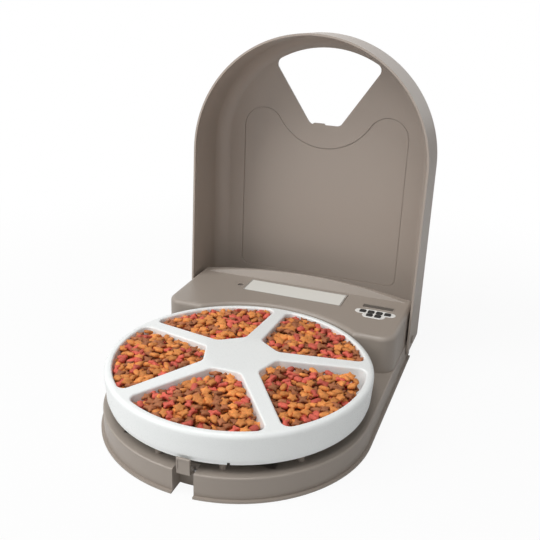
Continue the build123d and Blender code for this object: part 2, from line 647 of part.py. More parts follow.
def cover_screws():
    return Compound(children=[pan_screw(x, y, COVER_Z - 0.6, COVER_Z, COVER_TOP + 9, 2.8)
                              for x, y in COVER_SCREWS])


def housing_screws():
    """Screws up through the deck's ledge, and the one beside the label."""
    shapes = [pan_screw(x, y, DECK_LOW - 2, DECK_LOW, DECK_Z + 12, 3.0) for x, y in HOUSING_SCREWS]
    x, y = TOP_SCREW_AT
    shapes.append(pan_screw(x, y, HOUSING_TOP_Z - 1.6, HOUSING_TOP_Z - 0.3, HOUSING_TOP_Z - 18,
                            TOP_SCREW_HEAD_R))
    return Compound(children=shapes)


# ---------------------------------------------------------------------------
# Cells
# ---------------------------------------------------------------------------
def battery_well():
    """Moulded well over the cells, open below, with a rib between the rows and a screw post."""
    xa = CELL_CENTRE_X - WELL_HALF
    xb = CELL_CENTRE_X + WELL_HALF
    ya = WELL_Y0 - WELL_T
    yb = WELL_Y1 + WELL_T
    body = block(xa, xb, ya, yb, RAIL_TOP, WELL_TOP + WELL_ROOF)
    body -= block(xa + WELL_T, xb - WELL_T, WELL_Y0, WELL_Y1, RAIL_TOP - 1, WELL_TOP)
    mid = sum(CELL_ROW_Y) / 2
    body += block(xa, xb, mid - 1, mid + 1, CELL_Z, WELL_TOP + 0.5)
    x, y = TOP_SCREW_AT
    top = HOUSING_TOP_Z - SHELL
    body += rod(SCREW_BOSS_R, WELL_TOP + WELL_ROOF - 0.5, top, x, y)
    for turn in (0, 90):
        rib = Rot(0, 0, turn) * Box(18, 1.5, 20, align=(Align.CENTER, Align.CENTER, Align.MIN))
        body += Pos(x, y, WELL_TOP + WELL_ROOF - 0.5) * rib
    body -= rod(SCREW_R + FIT, HOUSING_TOP_Z - 19, top + 1, x, y)
    return one(body)


def battery_cells():
    shapes = []
    for row, y in enumerate(CELL_ROW_Y):
        way = 1 if row == 0 else -1
        start = CELL_CENTRE_X - way * (CELL_LEN - CONTACT_SPRING / 2)
        for i in range(2):
            x0 = start + way * CELL_LEN * i
            can_end = x0 + way * (CELL_LEN - CELL_NUB[1])
            end = x0 + way * CELL_LEN
            can = rod_x(CELL_DIA / 2, min(x0, can_end), max(x0, can_end), y, CELL_Z)
            nub = rod_x(CELL_NUB[0], min(can_end, end), max(can_end, end), y, CELL_Z)
            shapes.append(one(can + nub))
    return Compound(children=shapes)


def battery_contacts():
    """A plate at each end of each row, with a tapered spring where the flat end rests."""
    shapes = []
    half = CONTACT_W / 2
    for row, y in enumerate(CELL_ROW_Y):
        way = 1 if row == 0 else -1
        low = CELL_CENTRE_X - way * WELL_IN_HALF
        high = CELL_CENTRE_X + way * WELL_IN_HALF
        plate = block(min(low, low + way * CONTACT_T), max(low, low + way * CONTACT_T),
                      y - half, y + half, CELL_Z - half, CELL_Z + half)
        cone_mid = low + way * (CONTACT_T + (CONTACT_SPRING - FIT) / 2)
        cone = Pos(cone_mid, y, CELL_Z) * Rot(0, 90 * way, 0) * Cone(7.5, 4.5, CONTACT_SPRING - FIT)
        shapes.append(one(plate + cone))
        shapes.append(one(block(min(high, high - way * CONTACT_T), max(high, high - way * CONTACT_T),
                                y - half, y + half, CELL_Z - half, CELL_Z + half)))
    return Compound(children=shapes)


# ---------------------------------------------------------------------------
# Gears
# ---------------------------------------------------------------------------
def gear_plan(teeth, turn):
    """An involute spur gear's outline, with a tooth pointing along turn degrees."""
    pitch_r = MODULE * teeth / 2
    base_r = pitch_r * cos(radians(PRESSURE))
    tip_r = pitch_r + ADDENDUM * MODULE
    root_r = pitch_r - DEDENDUM * MODULE
    half_tooth = (pi * MODULE / 2 - BACKLASH) / 2 / pitch_r

    def roll(r):
        return sqrt(max((r / base_r) ** 2 - 1, 0))

    def half_angle(r):
        """Half the tooth's angle at radius r."""
        at_pitch = roll(pitch_r) - atan2(roll(pitch_r), 1)
        here = roll(max(r, base_r)) - atan2(roll(max(r, base_r)), 1)
        return half_tooth + at_pitch - here

    start_r = max(root_r, base_r)
    flank = [start_r, (start_r + tip_r) / 2, tip_r]
    points = []
    for i in range(teeth):
        mid = radians(turn) + 2 * pi * i / teeth
        steps = [(root_r, -half_angle(start_r))]
        steps += [(r, -half_angle(r)) for r in flank]
        steps += [(r, half_angle(r)) for r in reversed(flank)]
        steps += [(root_r, half_angle(start_r))]
        for r, a in steps:
            point = (r * cos(mid + a), r * sin(mid + a))
            if not points or hypot(point[0] - points[-1][0], point[1] - points[-1][1]) > 0.02:
                points.append(point)
    return make_face(Polyline(*points, close=True))


def mesh_turn(teeth_a, turn_a, teeth_b, bearing):
    """The turn of gear b that meshes with gear a, b lying at the given bearing from a."""
    phase_a = (bearing - turn_a) * teeth_a / 360
    return bearing + 180 - (0.5 - phase_a) * 360 / teeth_b


def wheel(teeth, turn, x, y, bore, hub_r, holes):
    """A spur gear with a thin web, a rim, a hub and lightening holes."""
    pitch_r = MODULE * teeth / 2
    body = prism(gear_plan(teeth, turn), GEAR_Z, GEAR_TOP)
    rim_in = pitch_r - DEDENDUM * MODULE - 3
    recess = Circle(rim_in) - Circle(hub_r)
    body -= prism(recess, GEAR_Z + WEB_T, GEAR_TOP + 1)
    for i in range(holes):
        body -= Rot(0, 0, 360 * i / holes) * rod((rim_in - hub_r) * 0.28, GEAR_Z - 1, GEAR_TOP,
                                                (rim_in + hub_r) / 2, 0)
    body -= rod(bore, GEAR_Z - 1, GEAR_TOP + 1)
    return one(body).moved(at(x, y))


IDLER_BEARING = 90 - IDLER_TURN
PINION_BEARING = 90 - PINION_TURN
OUTPUT_ANGLE = IDLER_BEARING
IDLER_ANGLE = mesh_turn(OUTPUT_TEETH, OUTPUT_ANGLE, IDLER_TEETH, IDLER_BEARING)
PINION_ANGLE = mesh_turn(IDLER_TEETH, IDLER_ANGLE, PINION_TEETH, PINION_BEARING)


def output_gear():
    return wheel(OUTPUT_TEETH, OUTPUT_ANGLE, 0, 0, SLEEVE_R - 3 + FIT, SLEEVE_R + 3, 6)


def idler_gear():
    return wheel(IDLER_TEETH, IDLER_ANGLE, *IDLER_AT, AXLE_R + RUN, AXLE_R + 5, 6)


def motor_pinion():
    """Pinion on the motor's shaft, whose lower end turns in the bottom cover."""
    x, y = PINION_AT
    teeth = prism(gear_plan(PINION_TEETH, PINION_ANGLE), GEAR_Z, GEAR_TOP).moved(at(x, y))
    return one(teeth + rod(MOTOR_SHAFT_R, COVER_Z + 1, DECK_Z + MOTOR_PLATE_T + 5, x, y))


def idler_axle():
    return one(rod(AXLE_R, COVER_Z + 0.8, PIT_LOW + 1, *IDLER_AT))


def tray_spindle():
    top = COLLAR_Z + COLLAR_T + COG_H
    body = rod(SPINDLE_R, COVER_Z + 0.8, top - 1)
    return one(chamfer(body.faces().sort_by(Axis.Z)[-1].edges(), 0.8))


def gear_motor():
    """Can-shaped gear-motor on a plate with two ears."""
    x, y = PINION_AT
    z = DECK_Z
    plate = prism(Pos(x, y) * SlotCenterToCenter(2 * MOTOR_SCREW_AT, 9), z, z + MOTOR_PLATE_T)
    can = rod(MOTOR_R, z, z + MOTOR_H * 0.45, x, y) + rod(MOTOR_R * 0.8, z, z + MOTOR_H, x, y)
    body = plate + can + rod(3, z, z + MOTOR_H + 2, x, y)
    body -= rod(MOTOR_SHAFT_R + RUN, z - 1, z + MOTOR_PLATE_T + 6, x, y)
    for side in (-1, 1):
        body -= rod(SCREW_R + FIT, z - 1, z + MOTOR_PLATE_T + 1, x + side * MOTOR_SCREW_AT, y)
    return one(body)


def motor_screws():
    x, y = PINION_AT
    z = DECK_Z + MOTOR_PLATE_T
    return Compound(children=[pan_screw(x + side * MOTOR_SCREW_AT, y, z, z + 1.8, DECK_LOW - 1.5, 3.0)
                              for side in (-1, 1)])


def drive_bush():
    """Flanged bush in the well's floor that the drive sleeve turns in."""
    top = PIT_Z + 4
    body = rod(SLEEVE_R + BUSH_T, PIT_LOW, top) + rod(SLEEVE_R + BUSH_T + 3, top, top + 1.2)
    return one(body - rod(SLEEVE_R + RUN, PIT_LOW - 1, top + 2))


def drive_hub():
    """Sleeve on the output gear, a cam collar and the cogs that turn the tray."""
    top = COLLAR_Z + COLLAR_T + COG_H
    body = rod(SLEEVE_R - 3, GEAR_Z, GEAR_TOP) + rod(SLEEVE_R, GEAR_TOP, COLLAR_Z)
    collar = Circle(COLLAR_R)
    for i in range(COMPARTMENTS):
        turn = 90 + 360 / COMPARTMENTS * i
        collar += Rot(0, 0, turn) * Pos(COLLAR_R - 2, 0) * Circle(CAM_RISE + 2)
    body += prism(collar, COLLAR_Z, COLLAR_Z + COLLAR_T)
    body += rod(COG_CORE_R, COLLAR_Z + COLLAR_T, top)
    for i in range(COMPARTMENTS):
        cog = block(0, COG_R, -COG_W / 2, COG_W / 2, COLLAR_Z + COLLAR_T, top)
        body += Rot(0, 0, 90 + 360 / COMPARTMENTS * i) * cog
    body = chamfer(body.faces().sort_by(Axis.Z)[-1].edges(), 0.6)
    return one(body - rod(SPINDLE_R + RUN, GEAR_Z - 1, top + 1))


def index_switch():
    """Small switch whose roller feels the cams on the drive collar."""
    x, y = switch_at()
    z = COLLAR_Z - 1
    body = block(x - SWITCH[0] / 2, x + SWITCH[0] / 2, y - SWITCH[1] / 2, y + SWITCH[1] / 2, z, z + SWITCH[2])
    low = y - SWITCH[1] / 2
    return one(body + block(x - 3, x + 1, low - 2.0, low, z + 1.5, z + SWITCH[2] - 1.5))


# ---------------------------------------------------------------------------
# Tray
# ---------------------------------------------------------------------------
def spoke_edge(side, grow):
    """Near and far points of a compartment's side wall, for a compartment along +X."""
    tilt = side * radians(180 / COMPARTMENTS)
    along = (cos(tilt), sin(tilt))
    across = (sin(tilt) * side, -cos(tilt) * side)
    flare = (SPOKE_HALF_IN - SPOKE_HALF_OUT) / (CELL_R - HUB_R)
    points = []
    for r in (HUB_R / 2, CELL_R * 1.5):
        offset = SPOKE_HALF_IN - flare * (r - HUB_R) - grow
        points.append((r * along[0] + offset * across[0], r * along[1] + offset * across[1]))
    return points


def cell_plan(grow):
    """A compartment's outline along +X: two spoke sides, an arc outside, a short end inside."""
    (a0, a1), (b0, b1) = spoke_edge(1, grow), spoke_edge(-1, grow)
    wedge = make_face(Polyline(a0, a1, b1, b0, close=True))
    plan = wedge & Circle(CELL_R + grow)
    plan &= Pos(HUB_R - grow + CELL_R) * Rectangle(2 * CELL_R, 4 * CELL_R)
    return fillet(plan.vertices(), CELL_CORNER_R)


def cell_solid(grow):
    """A compartment's hollow, tapering down to a rounded floor."""
    top = HUB_Z + 4
    floor = CELL_FLOOR_Z - grow
    body = extrude(Pos(0, 0, top) * cell_plan(grow), amount=floor - top, taper=CELL_DRAFT)
    return fillet(body.faces().sort_by(Axis.Z)[0].edges(), CELL_FLOOR_R)


def tray_blank(inset):
    """The tray's outer form turned about its axis, drawn in by inset."""
    slope = (HUB_Z - RIM_Z) / (CELL_R - HUB_R)
    low = TRAY_LOW_Z if inset == 0 else TRAY_LOW_Z - 5
    foot = TRAY_FOOT_R - inset
    wide = TRAY_R - inset
    rim_r = RIM_R - inset
    lean = (TRAY_R - TRAY_FOOT_R) / (TRAY_WIDE_Z - TRAY_LOW_Z)
    lip_top = TRAY_LOW_Z + TRAY_LIP_H
    rim = RIM_Z - inset
    hub = HUB_Z - inset
    with BuildSketch(Plane.XZ) as profile:
        with BuildLine():
            lip_r = foot + lean * TRAY_LIP_H
            Polyline((0, low), (foot, low), (lip_r, lip_top),
                     (lip_r + TRAY_LIP_STEP, lip_top), (wide, TRAY_WIDE_Z), (wide, rim),
                     (TRAY_R - RIM_W, rim), (HUB_R, hub), (0, hub), (0, low))
        make_face()
        corner = [v for v in profile.vertices() if v.X > wide - 0.1 and v.Y > TRAY_WIDE_Z + 1]
        fillet(corner, rim_r)
        shoulder = [v for v in profile.vertices() if abs(v.X - HUB_R) < 0.1 and v.Y > hub - 0.1]
        fillet(shoulder, HUB_SHOULDER_R)
    return revolve(profile.sketch, Axis.Z)


def mouth_edges(body):
    """The edges round the compartments' mouths."""
    top = [e for e in body.edges() if e.center().Z > RIM_Z - RIM_R]
    inside = [e for e in top if max(hypot(v.X, v.Y) for v in e.vertices()) < CELL_R + 0.5]
    return [e for e in inside if min(hypot(v.X, v.Y) for v in e.vertices()) > HUB_R / 2]


def tray():
    """One moulding: rim, spokes and hub with five hollows, open underneath, on a ring and a socket."""
    cells = [Rot(0, 0, -90 + 360 / COMPARTMENTS * i) * cell_solid(0) for i in range(COMPARTMENTS)]
    walls = [Rot(0, 0, -90 + 360 / COMPARTMENTS * i) * cell_solid(TRAY_T) for i in range(COMPARTMENTS)]
    under = tray_blank(TRAY_T)
    for wall in walls:
        under -= wall
    body = tray_blank(0)
    for cell in cells:
        body -= cell
    body = fillet(mouth_edges(body), CELL_LIP_R)
    body -= under
    notch_w, notch_h = TRAY_LIP_NOTCH
    notch = block(TRAY_FOOT_R - TRAY_T - 1, TRAY_R, -notch_w / 2, notch_w / 2, TRAY_LOW_Z - 1,
                  TRAY_LOW_Z + notch_h)
    body -= Rot(0, 0, TRAY_NOTCH_TURN) * notch
    socket_r = COG_R + SOCKET_GAP
    socket = rod(socket_r + SOCKET_T, TRACK_Z, HUB_Z - TRAY_T + 0.5)
    ribs = socket - rod(socket_r, TRACK_Z - 1, HUB_Z)
    for i in range(COMPARTMENTS):
        rib = block(COG_CORE_R + 0.5, socket_r + 1, -2, 2, TRACK_Z, TRACK_Z + COG_H)
        ribs += Rot(0, 0, 90 + 360 / COMPARTMENTS * (i + 0.5)) * rib
    track = rod(GLIDE_AT + TRACK_T / 2, TRACK_Z, CELL_FLOOR_Z) - rod(GLIDE_AT - TRACK_T / 2, TRACK_Z - 1,
                                                                     CELL_FLOOR_Z + 1)
    for cell in cells:
        track -= cell
    return one(body + ribs + track)


# ---------------------------------------------------------------------------
# Lid
# ---------------------------------------------------------------------------
def panel_plane(inset):
    """The plane of the closed lid's panel, a distance in from its outer face."""
    tilt = atan(LID_SLOPE)
    z = HINGE_Z + LID_PANEL + (SHELL - inset) / cos(tilt)
    return Plane(origin=(0, HINGE_Y, z), z_dir=(0, -sin(tilt), cos(tilt)))


def lid_form(inset):
    """The closed lid's form drawn in by inset: arched plan, sloping panel, soft edges."""
    back = HINGE_Y + LID_BACK - inset
    low = -40
    form = prism(d_plan(FOOT_R - inset, back), low, HINGE_Z + LID_PANEL + 40)
    form = one(split(form, panel_plane(inset), keep=Keep.BOTTOM))
    top = form.faces().sort_by(Axis.Z)[-1]
    form = fillet([e for e in top.edges() if e.center().Y < back - 1], LID_SIDE_R - inset)
    rear = form.faces().sort_by(Axis.Y)[-1]
    return one(fillet([e for e in rear.edges() if e.center().Z > low + 1], LID_BACK_R - inset))


def relief_plan(inset):
    """The panel's relief drawn in by inset: straight sides, two round shoulders, a dip between."""
    r = RELIEF_BUMP_R
    bump = (RELIEF_HALF - r, RELIEF_TOP - r)
    rise = RELIEF_DIP - bump[1]
    dip_r = (bump[0] ** 2 + rise ** 2 - r ** 2) / (2 * (r - rise))
    dip = (0.0, RELIEF_DIP + dip_r)
    half = RELIEF_HALF - inset
    low = RELIEF_LOW + inset
    shape = Pos(0, (low + bump[1]) / 2) * Rectangle(2 * half, bump[1] - low)
    shape = round_corners(shape, RELIEF_LOW_R - inset, lambda v: v.Y < low + 1)
    reach = hypot(bump[0], dip[1] - bump[1])
    touch = (bump[0] * dip_r / reach, dip[1] - (dip[1] - bump[1]) * dip_r / reach)
    middle = make_face(Polyline((-bump[0], bump[1] - 1), (-bump[0], bump[1]), (-touch[0], touch[1]),
                                (touch[0], touch[1]), (bump[0], bump[1]), (bump[0], bump[1] - 1), close=True))
    for x in both_sides(bump[0]):
        shape += Pos(x, bump[1]) * Circle(r - inset)
    return shape + middle - Pos(*dip) * Circle(dip_r + inset)


def to_plan(sketch):
    """Turn a sketch drawn along the panel into the closed lid's plan."""
    return Pos(0, HINGE_Y) * mirror(sketch, Plane.XZ)


def window_plan():
    """The carrying window: an arc above, two converging sides, a short sill with a tab."""
    arc_mid = HINGE_Y
    corner_v = arc_mid + sqrt(WINDOW_R ** 2 - WINDOW_HALF ** 2)
    sides = make_face(Polyline((-WINDOW_LOW_HALF, WINDOW_LOW), (WINDOW_LOW_HALF, WINDOW_LOW),
                               (WINDOW_HALF, corner_v), (WINDOW_HALF, corner_v + 60),
                               (-WINDOW_HALF, corner_v + 60), (-WINDOW_HALF, corner_v), close=True))
    shape = sides & Pos(0, arc_mid) * Circle(WINDOW_R)
    shape = fillet(shape.vertices(), WINDOW_CORNER_R)
    tab = Pos(-WINDOW_LOW_HALF * 0.4, WINDOW_LOW) * SlotOverall(WINDOW_LOW_HALF * 0.8, 2 * WINDOW_TAB)
    return shape - tab


def lid():
    """The lid as it rests, tipped back open about its hinge."""
    low, high = HINGE_Z + LID_PANEL - 40, HINGE_Z + LID_PANEL + 30
    relief = prism(to_plan(relief_plan(0)), low, high)
    line_w, line_deep = RELIEF_LINE
    line = relief - prism(to_plan(relief_plan(line_w)), low - 1, high + 1)
    outer = lid_form(0) + one(split(relief, panel_plane(-RELIEF), keep=Keep.BOTTOM))
    hollow = lid_form(SHELL) + one(split(relief, panel_plane(SHELL - RELIEF), keep=Keep.BOTTOM))
    hollow += split(line, panel_plane(SHELL - RELIEF - line_deep), keep=Keep.BOTTOM)
    inner_half = FOOT_R - SHELL
    hollow += block(-inner_half, inner_half, HINGE_Y, HINGE_Y + 2 * LID_BACK, -20, HINGE_Z + LID_SKIRT_LOW)
    body = outer - hollow
    keep = block(-2 * FOOT_R, 2 * FOOT_R, -2 * FOOT_R, HINGE_Y, LID_RIM_Z, 200)
    keep += block(-2 * FOOT_R, 2 * FOOT_R, HINGE_Y - 1, HINGE_Y + 60, HINGE_Z, 200)
    keep += rod_x(EAR_R, -2 * FOOT_R, 2 * FOOT_R, HINGE_Y, HINGE_Z)
    body &= keep
    body -= prism(to_plan(window_plan()), 60, 140)
    body -= rod_x(HINGE_PIN_R + RUN, -2 * FOOT_R, 2 * FOOT_R, HINGE_Y, HINGE_Z)
    hinge = Axis((0, HINGE_Y, HINGE_Z), (1, 0, 0))
    return one(body).rotate(hinge, -(90 + LID_LEAN))


def hinge_pins():
    """Headed pins pressed into the base, one through each ear of the lid."""
    shapes = []
    for side in (-1, 1):
        root = side * (WALL_R - HINGE_BOSS_L)
        face = side * (FOOT_R + GAP)
        tip = side * (FOOT_R + GAP + HINGE_HEAD_T)
        pin = rod_x(HINGE_PIN_R, min(root, face), max(root, face), HINGE_Y, HINGE_Z)
        head = rod_x(HINGE_HEAD_R, min(face, tip), max(face, tip), HINGE_Y, HINGE_Z)
        shapes.append(one(pin + head))
    return Compound(children=shapes)


# ---------------------------------------------------------------------------
# Write the pieces
# ---------------------------------------------------------------------------
PIECES = {
    "base_shell": base_shell, "base_bottom": base_bottom, "battery_door": battery_door,
    "rubber_feet": rubber_feet, "cover_screws": cover_screws,
    "housing_cover": housing_cover, "housing_screws": housing_screws, "label_plate": label_plate,
    "display_lens": display_lens, "display_module": display_module, "keypad_bezel": keypad_bezel,
    "circuit_board": circuit_board, "board_screws": board_screws, "tact_switches": tact_switches,
    "battery_well": battery_well, "battery_cells": battery_cells, "battery_contacts": battery_contacts,
    "gear_motor": gear_motor, "motor_screws": motor_screws, "motor_pinion": motor_pinion,
    "idler_gear": idler_gear, "idler_axle": idler_axle, "output_gear": output_gear,
    "tray_spindle": tray_spindle, "drive_bush": drive_bush, "drive_hub": drive_hub,
    "index_switch": index_switch, "tray": tray,
    "latch": latch, "latch_pin": latch_pin, "latch_spring": latch_spring,
    "lid": lid, "hinge_pins": hinge_pins,
}


def main():
    shapes = {name: make() for name, make in PIECES.items()}
    for number, (x, y) in enumerate(key_places(), start=1):
        shapes[f"key_{number}"] = key(x, y)
    boxes = [shape.bounding_box() for shape in shapes.values()]
    middle = (min(b.min.Y for b in boxes) + max(b.max.Y for b in boxes)) / 2
    print(f"tray axis at Y = {-middle:.4f}")
    os.makedirs("parts", exist_ok=True)
    for name, shape in shapes.items():
        solids = [solid.moved(at(0, -middle, 0)) for solid in shape.solids()]
        export_step(solids[0] if len(solids) == 1 else Compound(solids), f"parts/{name}.step")


main()
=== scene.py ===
"""Automatic pet feeder: finishes, food and studio set-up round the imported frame."""

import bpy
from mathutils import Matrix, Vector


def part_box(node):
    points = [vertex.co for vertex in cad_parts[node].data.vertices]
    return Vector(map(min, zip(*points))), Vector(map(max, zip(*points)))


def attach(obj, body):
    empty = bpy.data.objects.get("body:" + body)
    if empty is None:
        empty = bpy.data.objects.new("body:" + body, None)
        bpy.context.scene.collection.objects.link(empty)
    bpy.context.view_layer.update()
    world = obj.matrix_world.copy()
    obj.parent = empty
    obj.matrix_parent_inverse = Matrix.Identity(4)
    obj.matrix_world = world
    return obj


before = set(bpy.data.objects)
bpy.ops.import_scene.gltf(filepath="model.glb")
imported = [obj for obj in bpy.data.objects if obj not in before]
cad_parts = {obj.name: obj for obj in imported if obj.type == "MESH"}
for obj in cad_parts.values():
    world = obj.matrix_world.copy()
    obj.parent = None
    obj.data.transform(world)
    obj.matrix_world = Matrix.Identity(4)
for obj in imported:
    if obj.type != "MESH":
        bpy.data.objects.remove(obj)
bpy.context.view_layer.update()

import math

import bmesh
import bpy
from bpy.props import FloatProperty, FloatVectorProperty, IntProperty, PointerProperty
from mathutils import Matrix, Vector

bl_info = {
    "name": "Pet Feeder Finishes",
    "version": (1, 0, 0),
    "blender": (4, 5, 0),
    "location": "View3D > Sidebar > Pet Feeder",
    "description": "Moulded plastic finishes, heaped food and a studio for the automatic pet feeder",
    "category": "Object",
}

# The tray's axis passes through the middle of its box
TRAY_LOW, TRAY_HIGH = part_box("tray")
TRAY_MID = (TRAY_LOW + TRAY_HIGH) / 2

# Tray, in metres: five compartments between a hub and a rim, with spokes that narrow outwards
COMPARTMENTS = 5
HUB_RADIUS = 0.040
CELL_RADIUS = 0.147
SPOKE_HALF_IN = 0.0095
SPOKE_HALF_OUT = 0.0065
CELL_CORNER = 0.011
# Compartments whose left wall stays bare at the rim, and by how far
BARE_WALLS = {1: 0.016}

# Label plate: distance of the border line from the plate's edge, and its width
LABEL_MARGIN = 0.0008
LABEL_LINE = 0.0010

# Food: three golden kinds, then two red ones, then two brown ones
FOOD_KINDS = ("star", "almond", "star", "bone", "bar", "cross", "cross")
FIRST_RED = 3
FIRST_BROWN = 5
# A piece's cross-section, as shares of its outline and of its thickness, and the tips below and above
FOOD_RINGS = ((0.80, -0.5), (1.0, -0.20), (1.0, 0.22), (0.80, 0.5))
FOOD_TIPS = (-0.52, 0.54)
FOOD_TILT = 0.38
FOOD_SIZES = (0.86, 1.12)
HEIGHT_JITTER = 0.0012
MOST_PER_AREA = 60000.0
MOST_LAYERS = 4
# Seeds of the random draws
KIND_SEED, TONE_SEED, TURN_SEED, SIZE_SEED = 3, 33, 5, 9
JITTER_SEED = 40
# Filled bed under the pieces: height of its underside, thickness, and the brown end of the colours; the
# bed stands for deeper food, and its brown at the lowest tone is painted shade in the gaps between
# pieces
BED_HEIGHT = 0.052
BED_THICKNESS = 0.005
BED_SHADE_KIND = 0.9

# Floor: radius, share seen as plain white beside the object, and where that share fades to all of it
FLOOR_RADIUS = 6.0
FLOOR_SEGMENTS = 96
FLOOR_WHITE = 0.92
FLOOR_FADE = (0.40, 0.95)
# Lamps: name, place, width and share of the lamp power, all aimed at one point
LAMPS = (
    ("Left Lamp", (-2.0, -1.4, 1.9), 1.8, 0.78),
    ("Front Lamp", (0.9, -2.4, 1.3), 1.2, 0.08),
    ("High Lamp", (-0.2, -0.9, 3.0), 1.4, 0.60),
)
LAMP_TARGET = Vector((0.0, 0.0, 0.12))


def colour_property(name, description, default):
    """A colour of three linear values."""
    return FloatVectorProperty(name=name, description=description, default=default, subtype="COLOR",
                               size=3, min=0.0, max=1.0)


def length_property(name, description, default):
    """A length in metres."""
    return FloatProperty(name=name, description=description, default=default, unit="LENGTH", min=0.0)


class FEEDER_PG_colours(bpy.types.PropertyGroup):
    """Colours of the mouldings, fittings and food, as linear values."""

    shell: colour_property("Shell", "Taupe of the base and housing", (0.318, 0.273, 0.234))
    # The lid's taupe is the shell's taupe made about 1.3 times lighter: painted light for the stronger
    # light on the lid's panel
    lid: colour_property("Lid", "Taupe of the lid", (0.412, 0.354, 0.306))
    tray: colour_property("Tray", "White of the food tray", (0.865, 0.885, 0.875))
    label: colour_property("Label", "Cream of the bare label plate", (0.71, 0.70, 0.655))
    label_edge: colour_property("Label edge", "Paler margin of the label plate", (0.84, 0.83, 0.79))
    label_line: colour_property("Label line", "Thin line round the label's field", (0.22, 0.20, 0.175))
    bezel: colour_property("Bezel", "White of the keypad's surround", (0.80, 0.79, 0.76))
    key: colour_property("Keys", "Black of the rubber keys", (0.022, 0.021, 0.020))
    lens: colour_property("Lens", "Dark window of the display", (0.085, 0.075, 0.066))
    biscuit: colour_property("Golden food", "Golden pieces of food", (0.73, 0.275, 0.078))
    red: colour_property("Red food", "Red pieces of food", (0.66, 0.130, 0.088))
    brown: colour_property("Brown food", "Brown pieces of food", (0.41, 0.150, 0.066))


class FEEDER_PG_food(bpy.types.PropertyGroup):
    """Sizes of the food heaped in the compartments."""

    length: length_property("Length", "Length of a piece of food at full size", 0.0124)
    spacing: length_property("Spacing", "Least distance between two pieces of a layer", 0.0068)
    inset: length_property("Inset", "Distance of the outer pieces from the compartment's wall", 0.0062)
    edge_height: length_property("Edge height", "Height of the heap beside the rim", 0.0728)
    crown: length_property("Crown", "Rise of the heap over its edge", 0.0026)
    inner_rise: length_property("Inner rise", "Rise of the heap from the rim to the hub", 0.0070)
    slope_width: length_property("Slope", "Width over which the heap rises", 0.022)
    layer_drop: length_property("Layer", "Drop from one layer of food to the next", 0.0048)
    layers: IntProperty(name="Layers", description="Layers of food on the bed", default=3, min=1,
                        max=MOST_LAYERS)
    seed: IntProperty(name="Seed", description="Seed of the scattering", default=11)


class FEEDER_PG_studio(bpy.types.PropertyGroup):
    """Camera and light of the studio."""

    azimuth: FloatProperty(name="Azimuth", description="Direction of view from straight ahead",
                           default=math.radians(20.08), subtype="ANGLE")
    elevation: FloatProperty(name="Elevation", description="How far the camera looks down",
                             default=math.radians(22.22), subtype="ANGLE")
    roll: FloatProperty(name="Roll", description="Turn of the camera about its line of sight",
                        default=math.radians(1.60), subtype="ANGLE")
    place: FloatVectorProperty(name="Place", description="Place of the camera", subtype="TRANSLATION",
                               size=3, default=(0.293891, -0.816620, 0.509827))
    lens: FloatProperty(name="Lens", description="Focal length on a 36 mm frame", default=52.31)
    shift: FloatVectorProperty(name="Shift", description="Shift of the frame", size=2,
                               default=(0.0173, 0.0081))
    lamp_power: FloatProperty(name="Lamp", description="Power that the lamps take their shares of",
                              default=62.0, unit="POWER")
    world_light: FloatProperty(name="Sky", description="Strength of the even light", default=0.26)


# ---------------------------------------------------------------------------
# Node helpers
# ---------------------------------------------------------------------------
def add_node(tree, kind, place, settings=None, values=None):
    """A node at a column and row of the tree, with its settings and its inputs' values."""
    node = tree.nodes.new(kind)
    node.location = (place[0] * 200, -place[1] * 160)
    for name, value in (settings or {}).items():
        setattr(node, name, value)
    for name, value in (values or {}).items():
        node.inputs[name].default_value = value
    return node


def join(tree, start, end):
    """Link an output to an input."""
    tree.links.new(start, end)


def new_group(name, kind, inputs, outputs):
    """An empty node group with the named sockets."""
    tree = bpy.data.node_groups.new(name, kind)
    for label, socket, default in inputs:
        made = tree.interface.new_socket(name=label, in_out="INPUT", socket_type=socket)
        if default is not None:
            made.default_value = default
    for label, socket in outputs:
        tree.interface.new_socket(name=label, in_out="OUTPUT", socket_type=socket)
    return tree


def shader_group(name, inputs, outputs):
    """The shader group of that name, and whether it still has to be filled."""
    if name in bpy.data.node_groups:
        return bpy.data.node_groups[name], False
    return new_group(name, "ShaderNodeTree", inputs, outputs), True


def math_node(tree, operation, place, a, b=None):
    """The output of a sum on numbers or sockets."""
    node = add_node(tree, "ShaderNodeMath", place, {"operation": operation})
    for socket, value in zip(node.inputs, (a, b)):
        if value is None:
            continue
        if isinstance(value, (int, float)):
            socket.default_value = value
        else:
            join(tree, value, socket)
    return node.outputs[0]


